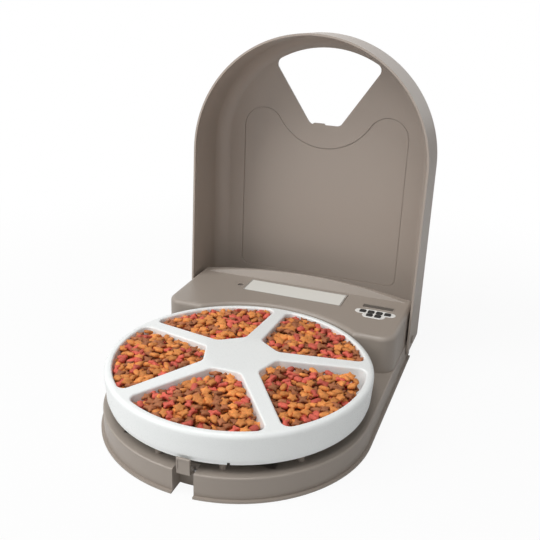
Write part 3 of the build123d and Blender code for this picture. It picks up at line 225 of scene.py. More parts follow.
# ---------------------------------------------------------------------------
# Shader groups
# ---------------------------------------------------------------------------
def moulded_grain():
    """Spark-eroded grain of a moulding, with slow drifts in tone from the flow of the plastic."""
    tree, empty = shader_group(
        "Moulded Grain",
        [("Colour", "NodeSocketColor", (0.5, 0.5, 0.5, 1)), ("Grain Size", "NodeSocketFloat", 0.0006),
         ("Drift", "NodeSocketFloat", 0.04), ("Roughness", "NodeSocketFloat", 0.45)],
        [("Colour", "NodeSocketColor"), ("Roughness", "NodeSocketFloat"), ("Height", "NodeSocketFloat")])
    if not empty:
        return tree
    start = add_node(tree, "NodeGroupInput", (0, 0))
    end = add_node(tree, "NodeGroupOutput", (6, 0))
    place = add_node(tree, "ShaderNodeTexCoord", (0, 2))
    scale = math_node(tree, "DIVIDE", (1, 1), 1.0, start.outputs["Grain Size"])
    grain = add_node(tree, "ShaderNodeTexNoise", (2, 1), values={"Detail": 3.0, "Roughness": 0.6})
    join(tree, place.outputs["Object"], grain.inputs["Vector"])
    join(tree, scale, grain.inputs["Scale"])
    flow = add_node(tree, "ShaderNodeTexNoise", (2, 3),
                    values={"Scale": 9.0, "Detail": 2.0, "Distortion": 0.6})
    join(tree, place.outputs["Object"], flow.inputs["Vector"])
    mid_flow = math_node(tree, "SUBTRACT", (3, 3), flow.outputs["Fac"], 0.5)
    drift = math_node(tree, "MULTIPLY", (4, 3), mid_flow, start.outputs["Drift"])
    mid_grain = math_node(tree, "SUBTRACT", (3, 1), grain.outputs["Fac"], 0.5)
    fleck = math_node(tree, "MULTIPLY", (4, 1), mid_grain, start.outputs["Drift"])
    value = math_node(tree, "ADD", (5, 2), math_node(tree, "ADD", (5, 3), drift, fleck), 1.0)
    tint = add_node(tree, "ShaderNodeHueSaturation", (5, 0))
    join(tree, start.outputs["Colour"], tint.inputs["Color"])
    join(tree, value, tint.inputs["Value"])
    join(tree, tint.outputs["Color"], end.inputs["Colour"])
    rough = math_node(tree, "MULTIPLY_ADD", (5, 4), mid_grain, 0.25)
    join(tree, start.outputs["Roughness"], rough.node.inputs[2])
    join(tree, rough, end.inputs["Roughness"])
    join(tree, grain.outputs["Fac"], end.inputs["Height"])
    return tree


def crumb():
    """Baked crumb: pores, pale dust and darker browning that follow the piece's own tone."""
    tree, empty = shader_group(
        "Baked Crumb",
        [("Colour", "NodeSocketColor", (0.5, 0.3, 0.1, 1)), ("Tone", "NodeSocketFloat", 0.5)],
        [("Colour", "NodeSocketColor"), ("Roughness", "NodeSocketFloat"), ("Height", "NodeSocketFloat")])
    if not empty:
        return tree
    start = add_node(tree, "NodeGroupInput", (0, 0))
    end = add_node(tree, "NodeGroupOutput", (7, 0))
    place = add_node(tree, "ShaderNodeTexCoord", (0, 2))
    pores = add_node(tree, "ShaderNodeTexNoise", (1, 1), values={"Scale": 900.0, "Detail": 4.0})
    browning = add_node(tree, "ShaderNodeTexNoise", (1, 3), values={"Scale": 160.0, "Detail": 2.0})
    for texture in (pores, browning):
        join(tree, place.outputs["Object"], texture.inputs["Vector"])
    spread = add_node(tree, "ShaderNodeMapRange", (2, 3), values={"From Min": 0.35, "From Max": 0.65,
                                                                 "To Min": 0.84, "To Max": 1.12})
    join(tree, browning.outputs["Fac"], spread.inputs["Value"])
    fleck = add_node(tree, "ShaderNodeMapRange", (2, 1), values={"From Min": 0.3, "From Max": 0.7,
                                                                "To Min": 0.86, "To Max": 1.12})
    join(tree, pores.outputs["Fac"], fleck.inputs["Value"])
    tone = add_node(tree, "ShaderNodeMapRange", (2, 5), values={"To Min": 0.80, "To Max": 1.22})
    join(tree, start.outputs["Tone"], tone.inputs["Value"])
    value = math_node(tree, "MULTIPLY", (3, 2), spread.outputs["Result"], fleck.outputs["Result"])
    value = math_node(tree, "MULTIPLY", (4, 2), value, tone.outputs["Result"])
    tint = add_node(tree, "ShaderNodeHueSaturation", (5, 0))
    join(tree, start.outputs["Colour"], tint.inputs["Color"])
    join(tree, value, tint.inputs["Value"])
    join(tree, tint.outputs["Color"], end.inputs["Colour"])
    rough = add_node(tree, "ShaderNodeMapRange", (5, 3), values={"To Min": 0.55, "To Max": 0.80})
    join(tree, pores.outputs["Fac"], rough.inputs["Value"])
    join(tree, rough.outputs["Result"], end.inputs["Roughness"])
    join(tree, pores.outputs["Fac"], end.inputs["Height"])
    return tree


# ---------------------------------------------------------------------------
# Materials
# ---------------------------------------------------------------------------
def bare_material(name):
    """A new material with its Principled shader."""
    material = bpy.data.materials.new(name)
    material.use_nodes = True
    tree = material.node_tree
    return material, tree, tree.nodes["Principled BSDF"]


def add_bump(tree, shader, height, strength, distance):
    """Raise the surface by a height mask."""
    bump = add_node(tree, "ShaderNodeBump", (-1, 4),
                    values={"Strength": strength, "Distance": distance})
    join(tree, height, bump.inputs["Height"])
    join(tree, bump.outputs["Normal"], shader.inputs["Normal"])


def moulded(name, colour, roughness, grain, drift=0.04, depth=0.25, gloss=0.5, metal=0.0):
    """A moulded, cast or stamped finish with its grain."""
    material, tree, shader = bare_material(name)
    group = add_node(tree, "ShaderNodeGroup", (-2, 0), {"node_tree": moulded_grain()},
                     {"Colour": (*colour, 1), "Grain Size": grain, "Drift": drift,
                      "Roughness": roughness})
    join(tree, group.outputs["Colour"], shader.inputs["Base Color"])
    join(tree, group.outputs["Roughness"], shader.inputs["Roughness"])
    shader.inputs["Specular IOR Level"].default_value = gloss
    shader.inputs["Metallic"].default_value = metal
    add_bump(tree, shader, group.outputs["Height"], depth, grain * 0.35)
    return material


def food_material(colours):
    """Food of three flavours: the golden, red and brown share of the piece's kind."""
    material, tree, shader = bare_material("Baked Food")
    kind = add_node(tree, "ShaderNodeAttribute", (-6, 0), {"attribute_name": "food_kind"})
    tone = add_node(tree, "ShaderNodeAttribute", (-6, 2), {"attribute_name": "food_tone"})
    ramp = add_node(tree, "ShaderNodeValToRGB", (-5, 0))
    ramp.color_ramp.interpolation = "CONSTANT"
    steps = ramp.color_ramp.elements
    steps[0].position, steps[0].color = 0.0, (*colours.biscuit, 1)
    steps[1].position, steps[1].color = FIRST_RED / len(FOOD_KINDS), (*colours.red, 1)
    last = steps.new(FIRST_BROWN / len(FOOD_KINDS))
    last.color = (*colours.brown, 1)
    join(tree, kind.outputs["Fac"], ramp.inputs["Fac"])
    group = add_node(tree, "ShaderNodeGroup", (-2, 0), {"node_tree": crumb()})
    join(tree, ramp.outputs["Color"], group.inputs["Colour"])
    join(tree, tone.outputs["Fac"], group.inputs["Tone"])
    join(tree, group.outputs["Colour"], shader.inputs["Base Color"])
    join(tree, group.outputs["Roughness"], shader.inputs["Roughness"])
    shader.inputs["Specular IOR Level"].default_value = 0.25
    shader.inputs["Subsurface Weight"].default_value = 0.08
    shader.inputs["Subsurface Radius"].default_value = (0.002, 0.0008, 0.0004)
    add_bump(tree, shader, group.outputs["Height"], 0.5, 0.0004)
    return material


def label_material(colours):
    """Bare label plate with a thin line along its edge."""
    material, tree, shader = bare_material("Label Stock")
    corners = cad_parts["label_plate"].bound_box
    place = add_node(tree, "ShaderNodeTexCoord", (-9, 2))
    split = add_node(tree, "ShaderNodeSeparateXYZ", (-8, 2))
    join(tree, place.outputs["Object"], split.inputs[0])
    reach = []
    for i, axis in enumerate("XY"):
        low, high = min(corner[i] for corner in corners), max(corner[i] for corner in corners)
        from_middle = math_node(tree, "SUBTRACT", (-7, 2 * i), split.outputs[axis], (low + high) / 2)
        away = math_node(tree, "ABSOLUTE", (-6, 2 * i), from_middle)
        reach.append(math_node(tree, "SUBTRACT", (-5, 2 * i), away, (high - low) / 2 - LABEL_MARGIN))
    past = math_node(tree, "MAXIMUM", (-4, 1), *reach)
    field = math_node(tree, "LESS_THAN", (-3, 0), past, 0.0)
    off_line = math_node(tree, "ABSOLUTE", (-4, 3), past)
    line = math_node(tree, "LESS_THAN", (-3, 2), off_line, LABEL_LINE / 2)
    colour = add_node(tree, "ShaderNodeRGB", (-3, 4)).outputs[0]
    colour.default_value = (*colours.label_edge, 1)
    for row, (mask, shown) in enumerate(((field, colours.label), (line, colours.label_line))):
        mix = add_node(tree, "ShaderNodeMix", (-2 + row, 1), {"data_type": "RGBA"})
        under, over = [socket for socket in mix.inputs if socket.type == "RGBA"]
        join(tree, mask, mix.inputs["Factor"])
        join(tree, colour, under)
        over.default_value = (*shown, 1)
        colour = next(socket for socket in mix.outputs if socket.type == "RGBA")
    join(tree, colour, shader.inputs["Base Color"])
    shader.inputs["Roughness"].default_value = 0.55
    return material


def lens_material(colour):
    """Smoked clear window over the display."""
    material, tree, shader = bare_material("Display Window")
    group = add_node(tree, "ShaderNodeGroup", (-2, 0), {"node_tree": moulded_grain()},
                     {"Colour": (*colour, 1), "Grain Size": 0.002, "Drift": 0.06, "Roughness": 0.18})
    join(tree, group.outputs["Colour"], shader.inputs["Base Color"])
    join(tree, group.outputs["Roughness"], shader.inputs["Roughness"])
    shader.inputs["Coat Weight"].default_value = 0.5
    return material


def dress(names, material):
    """Give the frame's nodes a finish on all their material slots."""
    for name in names:
        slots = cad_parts[name].data.materials
        if len(slots) == 0:
            slots.append(material)
        for i in range(len(slots)):
            slots[i] = material


# ---------------------------------------------------------------------------
# Food
# ---------------------------------------------------------------------------
def cell_outline(inset, bare):
    """Outline of a compartment's food along +X about the tray's axis, drawn in by inset, in metres.

    bare is how far the food stops short of the left wall at the rim.
    """
    tilt = math.pi / COMPARTMENTS
    length = CELL_RADIUS - HUB_RADIUS
    flare = (SPOKE_HALF_IN - SPOKE_HALF_OUT) / length
    outer = CELL_RADIUS - inset
    # The food lies closer to the hub's wall than to the others
    inner = HUB_RADIUS + inset * 0.5
    step = 0.0005

    def edge(along):
        gap = SPOKE_HALF_IN - flare * (along - HUB_RADIUS) + inset
        x = along * math.cos(tilt) + gap * math.sin(tilt)
        y = along * math.sin(tilt) - gap * math.cos(tilt)
        return x, y

    far = outer
    while math.hypot(*edge(far)) > outer:
        far -= step
    near = inner
    while edge(near)[0] < inner:
        near += step
    corner = edge(far)
    sweep = math.atan2(corner[1], corner[0])
    side = [edge(near), edge((near * 2 + far) / 3), edge((near + far * 2) / 3),
            edge(far - CELL_CORNER * 0.6)]
    arc = [(outer * math.cos(sweep * t), outer * math.sin(sweep * t)) for t in (0.92, 0.75, 0.5, 0.25)]
    half = side + arc
    left = [(x, y - bare * (x - HUB_RADIUS) / length) for x, y in half]
    right = [(x, -y) for x, y in reversed(half)]
    return left + [(outer, 0.0)] + right


def outline_object(name, points, turn):
    """A flat one-faced mesh of the outline, turned about the tray's axis and placed on it."""
    mesh = bpy.data.meshes.new(name)
    spin = Matrix.Rotation(turn, 3, "Z")
    middle = Vector((TRAY_MID.x, TRAY_MID.y, 0))
    places = [spin @ Vector((x, y, 0)) + middle for x, y in points]
    form = bmesh.new()
    face = form.faces.new([form.verts.new(p) for p in places])
    face.normal_update()
    if face.normal.z < 0:
        face.normal_flip()
    form.to_mesh(mesh)
    form.free()
    made = bpy.data.objects.new(name, mesh)
    bpy.context.scene.collection.objects.link(made)
    return made


def biscuit_mesh(name, outline, thickness):
    """One piece of food: a puffed tablet with the given outline, lying flat."""
    form = bmesh.new()
    rings = []
    for shrink, height in FOOD_RINGS:
        rings.append([form.verts.new((x * shrink, y * shrink, thickness * height)) for x, y in outline])
    count = len(outline)
    for low, high in zip(rings, rings[1:]):
        for i in range(count):
            j = (i + 1) % count
            form.faces.new((low[i], low[j], high[j], high[i]))
    for ring, height, flip in ((rings[0], FOOD_TIPS[0], True), (rings[-1], FOOD_TIPS[1], False)):
        tip = form.verts.new((0, 0, thickness * height))
        for i in range(count):
            j = (i + 1) % count
            corners = (ring[j], ring[i], tip) if flip else (ring[i], ring[j], tip)
            form.faces.new(corners)
    bmesh.ops.recalc_face_normals(form, faces=form.faces)
    mesh = bpy.data.meshes.new(name)
    form.to_mesh(mesh)
    form.free()
    return mesh


def star_outline(points, outer, inner):
    """A star with that many arms."""
    outline = []
    for i in range(points * 2):
        angle = math.pi * i / points
        radius = outer if i % 2 == 0 else inner
        outline.append((radius * math.cos(angle), radius * math.sin(angle)))
    return outline


def bone_outline(length, width):
    """A small bone with a waist."""
    half, lobe, waist = length / 2, width / 2, width * 0.28
    quarter = [(half * 0.86, 0.0), (half, lobe * 0.62), (half * 0.74, lobe), (half * 0.38, waist)]
    left = [(-x, y) for x, y in reversed(quarter[1:])] + [(-half * 0.86, 0.0)]
    top = quarter + left
    bottom = [(x, -y) for x, y in reversed(top[1:-1])]
    return top + bottom


def almond_outline(length, width):
    """A drop with one end fuller than the other."""
    outline = []
    for i in range(8):
        angle = 2 * math.pi * i / 8
        fullness = 1 - 0.2 * math.cos(angle)
        outline.append((length / 2 * math.cos(angle), width / 2 * math.sin(angle) * fullness))
    return outline


def bar_outline(length, width):
    """A short bar with cut corners."""
    x, y = length / 2, width / 2
    corner = [(x, y * 0.45), (x * 0.72, y)]
    top = corner + [(-a, b) for a, b in reversed(corner)]
    return top + [(a, -b) for a, b in reversed(top)]


def food_shapes(length):
    """The shapes of food, kept out of the scene, in one collection in the order of FOOD_KINDS."""
    shapes = bpy.data.collections.new("Food Shapes")
    # Outline and thickness of each kind
    outlines = {
        "star": (star_outline(5, length * 0.56, length * 0.33), length * 0.32),
        "almond": (almond_outline(length, length * 0.54), length * 0.32),
        "bone": (bone_outline(length * 0.98, length * 0.66), length * 0.32),
        "bar": (bar_outline(length * 0.86, length * 0.54), length * 0.32),
        "cross": (star_outline(4, length * 0.56, length * 0.24), length * 0.30),
    }
    for i, kind in enumerate(FOOD_KINDS):
        outline, thickness = outlines[kind]
        name = f"food_shape_{i}_{kind}"
        shapes.objects.link(bpy.data.objects.new(name, biscuit_mesh(name, outline, thickness)))
    return shapes


def random_node(tree, place, kind, low, high, seed):
    """Random values of one kind between low and high, drawn by a fixed seed."""
    node = add_node(tree, "FunctionNodeRandomValue", place, {"data_type": kind}, {"Seed": seed})
    for name, value in (("Min", low), ("Max", high)):
        for socket in node.inputs:
            if socket.name == name and socket.enabled:
                socket.default_value = value
    return next(out for out in node.outputs if out.enabled)


def store_values(tree, place, geometry, values):
    """Store named values on the points: numbers, or sockets that vary from point to point."""
    for row, (name, value) in enumerate(values):
        store = add_node(tree, "GeometryNodeStoreNamedAttribute", (place[0] + row, place[1]),
                         {"data_type": "FLOAT", "domain": "POINT"}, {"Name": name})
        join(tree, geometry, store.inputs["Geometry"])
        if isinstance(value, float):
            store.inputs["Value"].default_value = value
        else:
            join(tree, value, store.inputs["Value"])
        geometry = store.outputs["Geometry"]
    return geometry


def scatter_layer(tree, start, climb, layer):
    """Points of one layer of food, at the heap's height less the layers above it."""
    column = 1 + layer * 8
    seed = math_node(tree, "ADD", (1, column), start.outputs["Seed"], layer * 7)
    points = add_node(tree, "GeometryNodeDistributePointsOnFaces", (2, column),
                      {"distribute_method": "POISSON"}, {"Density Max": MOST_PER_AREA})
    join(tree, start.outputs["Geometry"], points.inputs["Mesh"])
    join(tree, start.outputs["Spacing"], points.inputs["Distance Min"])
    join(tree, seed, points.inputs["Seed"])
    near = add_node(tree, "GeometryNodeProximity", (2, column + 2), {"target_element": "EDGES"})
    join(tree, start.outputs["Geometry"], near.inputs[0])
    share = math_node(tree, "DIVIDE", (3, column + 2), near.outputs["Distance"],
                      start.outputs["Slope Width"])
    rise = add_node(tree, "ShaderNodeMapRange", (4, column + 2), {"interpolation_type": "SMOOTHSTEP"})
    join(tree, share, rise.inputs["Value"])
    join(tree, start.outputs["Crown"], rise.inputs["To Max"])
    jitter = random_node(tree, (4, column + 4), "FLOAT", -HEIGHT_JITTER, HEIGHT_JITTER,
                         JITTER_SEED + layer)
    height = math_node(tree, "ADD", (5, column + 2), rise.outputs["Result"],
                       start.outputs["Edge Height"])
    height = math_node(tree, "ADD", (6, column + 2), height, jitter)
    height = math_node(tree, "ADD", (6, column + 3), height, climb)
    drop = math_node(tree, "MULTIPLY", (5, column + 3), start.outputs["Layer Drop"], float(layer))
    height = math_node(tree, "SUBTRACT", (7, column + 2), height, drop)
    lift = add_node(tree, "ShaderNodeCombineXYZ", (8, column + 2))
    join(tree, height, lift.inputs["Z"])
    move = add_node(tree, "GeometryNodeSetPosition", (8, column))
    join(tree, points.outputs["Points"], move.inputs["Geometry"])
    join(tree, lift.outputs["Vector"], move.inputs["Offset"])
    used = add_node(tree, "FunctionNodeCompare", (8, column + 4),
                    {"data_type": "INT", "operation": "GREATER_THAN"})
    wanted, reached = [socket for socket in used.inputs if socket.enabled]
    join(tree, start.outputs["Layers"], wanted)
    reached.default_value = layer
    switch = add_node(tree, "GeometryNodeSwitch", (9, column), {"input_type": "GEOMETRY"})
    join(tree, used.outputs["Result"], switch.inputs["Switch"])
    join(tree, move.outputs["Geometry"], switch.inputs["True"])
    return switch.outputs["Output"]


def filled_bed(tree, start):
    """Closed plate under the pieces, with the outline of the food, coloured in the darkest brown at the
    lowest tone as painted shade in the gaps between pieces.
    """
    ground = add_node(tree, "ShaderNodeCombineXYZ", (9, 12))
    join(tree, start.outputs["Floor Height"], ground.inputs["Z"])
    plate = add_node(tree, "GeometryNodeSetPosition", (10, 12))
    join(tree, start.outputs["Geometry"], plate.inputs["Geometry"])
    join(tree, ground.outputs["Vector"], plate.inputs["Offset"])
    under = add_node(tree, "GeometryNodeFlipFaces", (11, 13))
    join(tree, plate.outputs["Geometry"], under.inputs["Mesh"])
    raised = add_node(tree, "GeometryNodeExtrudeMesh", (11, 11), {"mode": "FACES"},
                      {"Individual": False, "Offset Scale": BED_THICKNESS})
    join(tree, plate.outputs["Geometry"], raised.inputs["Mesh"])
    closed = add_node(tree, "GeometryNodeJoinGeometry", (12, 12))
    join(tree, under.outputs["Mesh"], closed.inputs["Geometry"])
    join(tree, raised.outputs["Mesh"], closed.inputs["Geometry"])
    bed = add_node(tree, "GeometryNodeMergeByDistance", (13, 12), values={"Distance": 0.00001})
    join(tree, closed.outputs["Geometry"], bed.inputs["Geometry"])
    # Brown end of the colours at tone 0: painted shade for the deeper food seen between the pieces
    return store_values(tree, (14, 12), bed.outputs["Geometry"],
                        (("food_kind", BED_SHADE_KIND), ("food_tone", 0.0)))


def heap_tree(shapes, material):
    """Geometry Nodes tree: layers of food scattered over a crowned heap on a filled bed."""
    tree = new_group(
        "Food Heap", "GeometryNodeTree",
        [("Geometry", "NodeSocketGeometry", None), ("Spacing", "NodeSocketFloat", 0.007),
         ("Edge Height", "NodeSocketFloat", 0.07), ("Crown", "NodeSocketFloat", 0.008),
         ("Inner Rise", "NodeSocketFloat", 0.006), ("Axis", "NodeSocketVector", None),
         ("Slope Width", "NodeSocketFloat", 0.03), ("Layer Drop", "NodeSocketFloat", 0.004),
         ("Layers", "NodeSocketInt", 3), ("Floor Height", "NodeSocketFloat", BED_HEIGHT),
         ("Seed", "NodeSocketInt", 1)],
        [("Geometry", "NodeSocketGeometry")])
    start = add_node(tree, "NodeGroupInput", (0, 0))
    end = add_node(tree, "NodeGroupOutput", (20, 0))
    spot = add_node(tree, "GeometryNodeInputPosition", (0, 4))
    from_axis = add_node(tree, "ShaderNodeVectorMath", (1, -1), {"operation": "DISTANCE"})
    join(tree, spot.outputs["Position"], from_axis.inputs[0])
    join(tree, start.outputs["Axis"], from_axis.inputs[1])
    climb = add_node(tree, "ShaderNodeMapRange", (2, -1),
                     values={"From Min": CELL_RADIUS, "From Max": HUB_RADIUS})
    join(tree, from_axis.outputs["Value"], climb.inputs["Value"])
    join(tree, start.outputs["Inner Rise"], climb.inputs["To Max"])
    layers = add_node(tree, "GeometryNodeJoinGeometry", (10, 0))
    for layer in range(MOST_LAYERS):
        points = scatter_layer(tree, start, climb.outputs["Result"], layer)
        join(tree, points, layers.inputs["Geometry"])
    pick = add_node(tree, "GeometryNodeCollectionInfo", (10, 2), {"transform_space": "ORIGINAL"},
                    {"Collection": shapes, "Separate Children": True, "Reset Children": True})
    which = random_node(tree, (10, 4), "INT", 0, len(FOOD_KINDS) - 1, KIND_SEED)
    kind = math_node(tree, "DIVIDE", (11, 5), math_node(tree, "ADD", (10, 5), which, 0.5),
                     len(FOOD_KINDS))
    tone = random_node(tree, (9, 4), "FLOAT", 0.0, 1.0, TONE_SEED)
    turn = random_node(tree, (10, 6), "FLOAT_VECTOR", (-FOOD_TILT, -FOOD_TILT, 0.0),
                       (FOOD_TILT, FOOD_TILT, 2 * math.pi), TURN_SEED)
    size = random_node(tree, (10, 8), "FLOAT", *FOOD_SIZES, SIZE_SEED)
    marked = store_values(tree, (10, 1), layers.outputs["Geometry"],
                          (("food_kind", kind), ("food_tone", tone)))
    place = add_node(tree, "GeometryNodeInstanceOnPoints", (12, 0), values={"Pick Instance": True})
    for source, socket in ((marked, "Points"), (pick.outputs["Instances"], "Instance"),
                           (which, "Instance Index"), (turn, "Rotation"), (size, "Scale")):
        join(tree, source, place.inputs[socket])
    real = add_node(tree, "GeometryNodeRealizeInstances", (15, 0))
    join(tree, place.outputs["Instances"], real.inputs["Geometry"])
    smooth = add_node(tree, "GeometryNodeSetShadeSmooth", (16, 0))
    join(tree, real.outputs["Geometry"], smooth.inputs["Geometry"])
    whole = add_node(tree, "GeometryNodeJoinGeometry", (17, 0))
    join(tree, smooth.outputs["Geometry"], whole.inputs["Geometry"])
    join(tree, filled_bed(tree, start), whole.inputs["Geometry"])
    last = add_node(tree, "GeometryNodeRealizeInstances", (18, 0))
    join(tree, whole.outputs["Geometry"], last.inputs["Geometry"])
    finish = add_node(tree, "GeometryNodeSetMaterial", (19, 0), values={"Material": material})
    join(tree, last.outputs["Geometry"], finish.inputs["Geometry"])
    join(tree, finish.outputs["Geometry"], end.inputs["Geometry"])
    return tree


def set_input(modifier, tree, name, value):
    """Set a modifier's input by its socket's identifier."""
    for item in tree.interface.items_tree:
        if item.item_type == "SOCKET" and item.in_out == "INPUT" and item.name == name:
            modifier[item.identifier] = value
            return
    raise ValueError(f"the tree has no input named {name}")


def plain_mesh(made, name):
    """Put an object's evaluated mesh in place of its modifiers."""
    evaluated = made.evaluated_get(bpy.context.evaluated_depsgraph_get())
    mesh = bpy.data.meshes.new_from_object(evaluated)
    made.modifiers.clear()
    made.data = mesh
    mesh.name = name
    made.name = name


# ---------------------------------------------------------------------------
# Studio
# ---------------------------------------------------------------------------
def light_path_mask(tree, rays, place):
    """1 for rays of the named kinds."""
    path = add_node(tree, "ShaderNodeLightPath", place)
    mask = path.outputs[rays[0]]
    for ray in rays[1:]:
        mask = math_node(tree, "MAXIMUM", (place[0] + 1, place[1]), mask, path.outputs[ray])
    return mask


def studio_world(strength):
    """Even light from all round, seen as white."""
    world = bpy.data.worlds.new("Studio Sky")
    world.use_nodes = True
    tree = world.node_tree
    tree.nodes.clear()
    output = add_node(tree, "ShaderNodeOutputWorld", (4, 0))
    soft = add_node(tree, "ShaderNodeBackground", (1, 0),
                    values={"Color": (1, 1, 1, 1), "Strength": strength})
    white = add_node(tree, "ShaderNodeBackground", (1, 2),
                     values={"Color": (1, 1, 1, 1), "Strength": 1.0})
    mix = add_node(tree, "ShaderNodeMixShader", (3, 0))
    mask = light_path_mask(tree, ("Is Camera Ray", "Is Glossy Ray", "Is Transmission Ray"), (0, 3))
    join(tree, mask, mix.inputs[0])
    join(tree, soft.outputs[0], mix.inputs[1])
    join(tree, white.outputs[0], mix.inputs[2])
    join(tree, mix.outputs[0], output.inputs["Surface"])
    bpy.context.scene.world = world


def floor_material():
    """Pale matt floor, most of it seen as plain white so that only a soft shadow stays."""
    material, tree, shader = bare_material("Studio Floor")
    shader.inputs["Base Color"].default_value = (0.80, 0.80, 0.80, 1)
    shader.inputs["Roughness"].default_value = 0.9
    shader.inputs["Specular IOR Level"].default_value = 0.0
    glow = add_node(tree, "ShaderNodeEmission", (0, 3),
                    values={"Color": (1, 1, 1, 1), "Strength": 1.0})
    mix = add_node(tree, "ShaderNodeMixShader", (2, 0))
    mask = light_path_mask(tree, ("Is Camera Ray",), (-3, 3))
    place = add_node(tree, "ShaderNodeTexCoord", (-6, 5))
    away = add_node(tree, "ShaderNodeVectorMath", (-5, 5), {"operation": "LENGTH"})
    join(tree, place.outputs["Object"], away.inputs[0])
    fade = add_node(tree, "ShaderNodeMapRange", (-4, 5), {"interpolation_type": "SMOOTHSTEP"},
                    {"From Min": FLOOR_FADE[0], "From Max": FLOOR_FADE[1],
                     "To Min": FLOOR_WHITE, "To Max": 1.0})
    join(tree, away.outputs["Value"], fade.inputs["Value"])
    join(tree, math_node(tree, "MULTIPLY", (-1, 3), mask, fade.outputs["Result"]), mix.inputs[0])
    join(tree, shader.outputs[0], mix.inputs[1])
    join(tree, glow.outputs[0], mix.inputs[2])
    join(tree, mix.outputs[0], tree.nodes["Material Output"].inputs["Surface"])
    return material


def studio_floor():
    """A wide round floor that keeps the object's shadow."""
    mesh = bpy.data.meshes.new("studio_floor")
    form = bmesh.new()
    bmesh.ops.create_circle(form, cap_ends=True, segments=FLOOR_SEGMENTS, radius=FLOOR_RADIUS)
    form.to_mesh(mesh)
    form.free()
    mesh.materials.append(floor_material())
    floor = bpy.data.objects.new("studio_floor", mesh)
    bpy.context.scene.collection.objects.link(floor)


def soft_box(name, place, size, power):
    """A square soft lamp aimed at the lamps' common target."""
    lamp = bpy.data.lights.new(name, "AREA")
    lamp.shape = "SQUARE"
    lamp.size = size
    lamp.energy = power
    made = bpy.data.objects.new(name, lamp)
    made.location = place
    made.rotation_euler = (LAMP_TARGET - Vector(place)).to_track_quat("-Z", "Y").to_euler()
    bpy.context.scene.collection.objects.link(made)


def studio_camera(studio):
    """The camera at its azimuth, elevation and roll."""
    az, el, roll = studio.azimuth, studio.elevation, studio.roll
    ahead = Vector((-math.sin(az) * math.cos(el), math.cos(az) * math.cos(el), -math.sin(el)))
    right = Vector((math.cos(az), math.sin(az), 0))
    above = right.cross(ahead)
    side = math.cos(roll) * right + math.sin(roll) * above
    top = math.cos(roll) * above - math.sin(roll) * right
    data = bpy.data.cameras.new("Studio Camera")
    data.lens = studio.lens
    data.sensor_width = 36.0
    data.shift_x, data.shift_y = studio.shift
    camera = bpy.data.objects.new("Studio Camera", data)
    turn = Matrix((side, top, -ahead)).transposed().to_4x4()
    camera.matrix_world = Matrix.Translation(Vector(studio.place)) @ turn
    bpy.context.scene.collection.objects.link(camera)
    bpy.context.scene.camera = camera


# ---------------------------------------------------------------------------
# Operators
# ---------------------------------------------------------------------------
class FEEDER_OT_shell(bpy.types.Operator):
    """Finish the base, the housing and the battery door in grained taupe plastic"""

    bl_idname = "feeder.shell"
    bl_label = "Shell"

    def execute(self, context):
        taupe = context.scene.feeder_colours.shell
        dress(("base_shell", "housing_cover", "base_bottom", "battery_door", "latch", "hinge_pins"),
              moulded("Taupe Moulding", taupe, 0.38, 0.0007))
        return {"FINISHED"}


class FEEDER_OT_lid(bpy.types.Operator):
    """Finish the lid in the shell's taupe made lighter as painted light for the stronger light on the
    lid, a little smoother
    """

    bl_idname = "feeder.lid"
    bl_label = "Lid"

    def execute(self, context):
        # The lighter taupe of the lid is painted light, not a different plastic
        dress(("lid",), moulded("Taupe Lid Painted Light", context.scene.feeder_colours.lid, 0.36, 0.0007))
        return {"FINISHED"}


class FEEDER_OT_tray(bpy.types.Operator):
    """Finish the food tray in smooth white plastic"""

    bl_idname = "feeder.tray"
    bl_label = "Tray"

    def execute(self, context):
        dress(("tray",), moulded("Tray White", context.scene.feeder_colours.tray, 0.30, 0.0009,
                                 drift=0.015, depth=0.06))
        return {"FINISHED"}


class FEEDER_OT_panel(bpy.types.Operator):
    """Finish the label plate, display, keypad surround and keys"""

    bl_idname = "feeder.control_panel"
    bl_label = "Control panel"

    def execute(self, context):
        colours = context.scene.feeder_colours
        dress(("label_plate",), label_material(colours))
        dress(("keypad_bezel",),
              moulded("Bezel White", colours.bezel, 0.40, 0.0006, drift=0.02, depth=0.1))
        dress([f"key_{i}" for i in range(1, 7)],
              moulded("Key Rubber", colours.key, 0.62, 0.0005, drift=0.10, depth=0.2, gloss=0.35))
        dress(("display_lens",), lens_material(colours.lens))
        dress(("display_module",), moulded("Display Block", (0.10, 0.10, 0.095), 0.5, 0.0006))
        return {"FINISHED"}


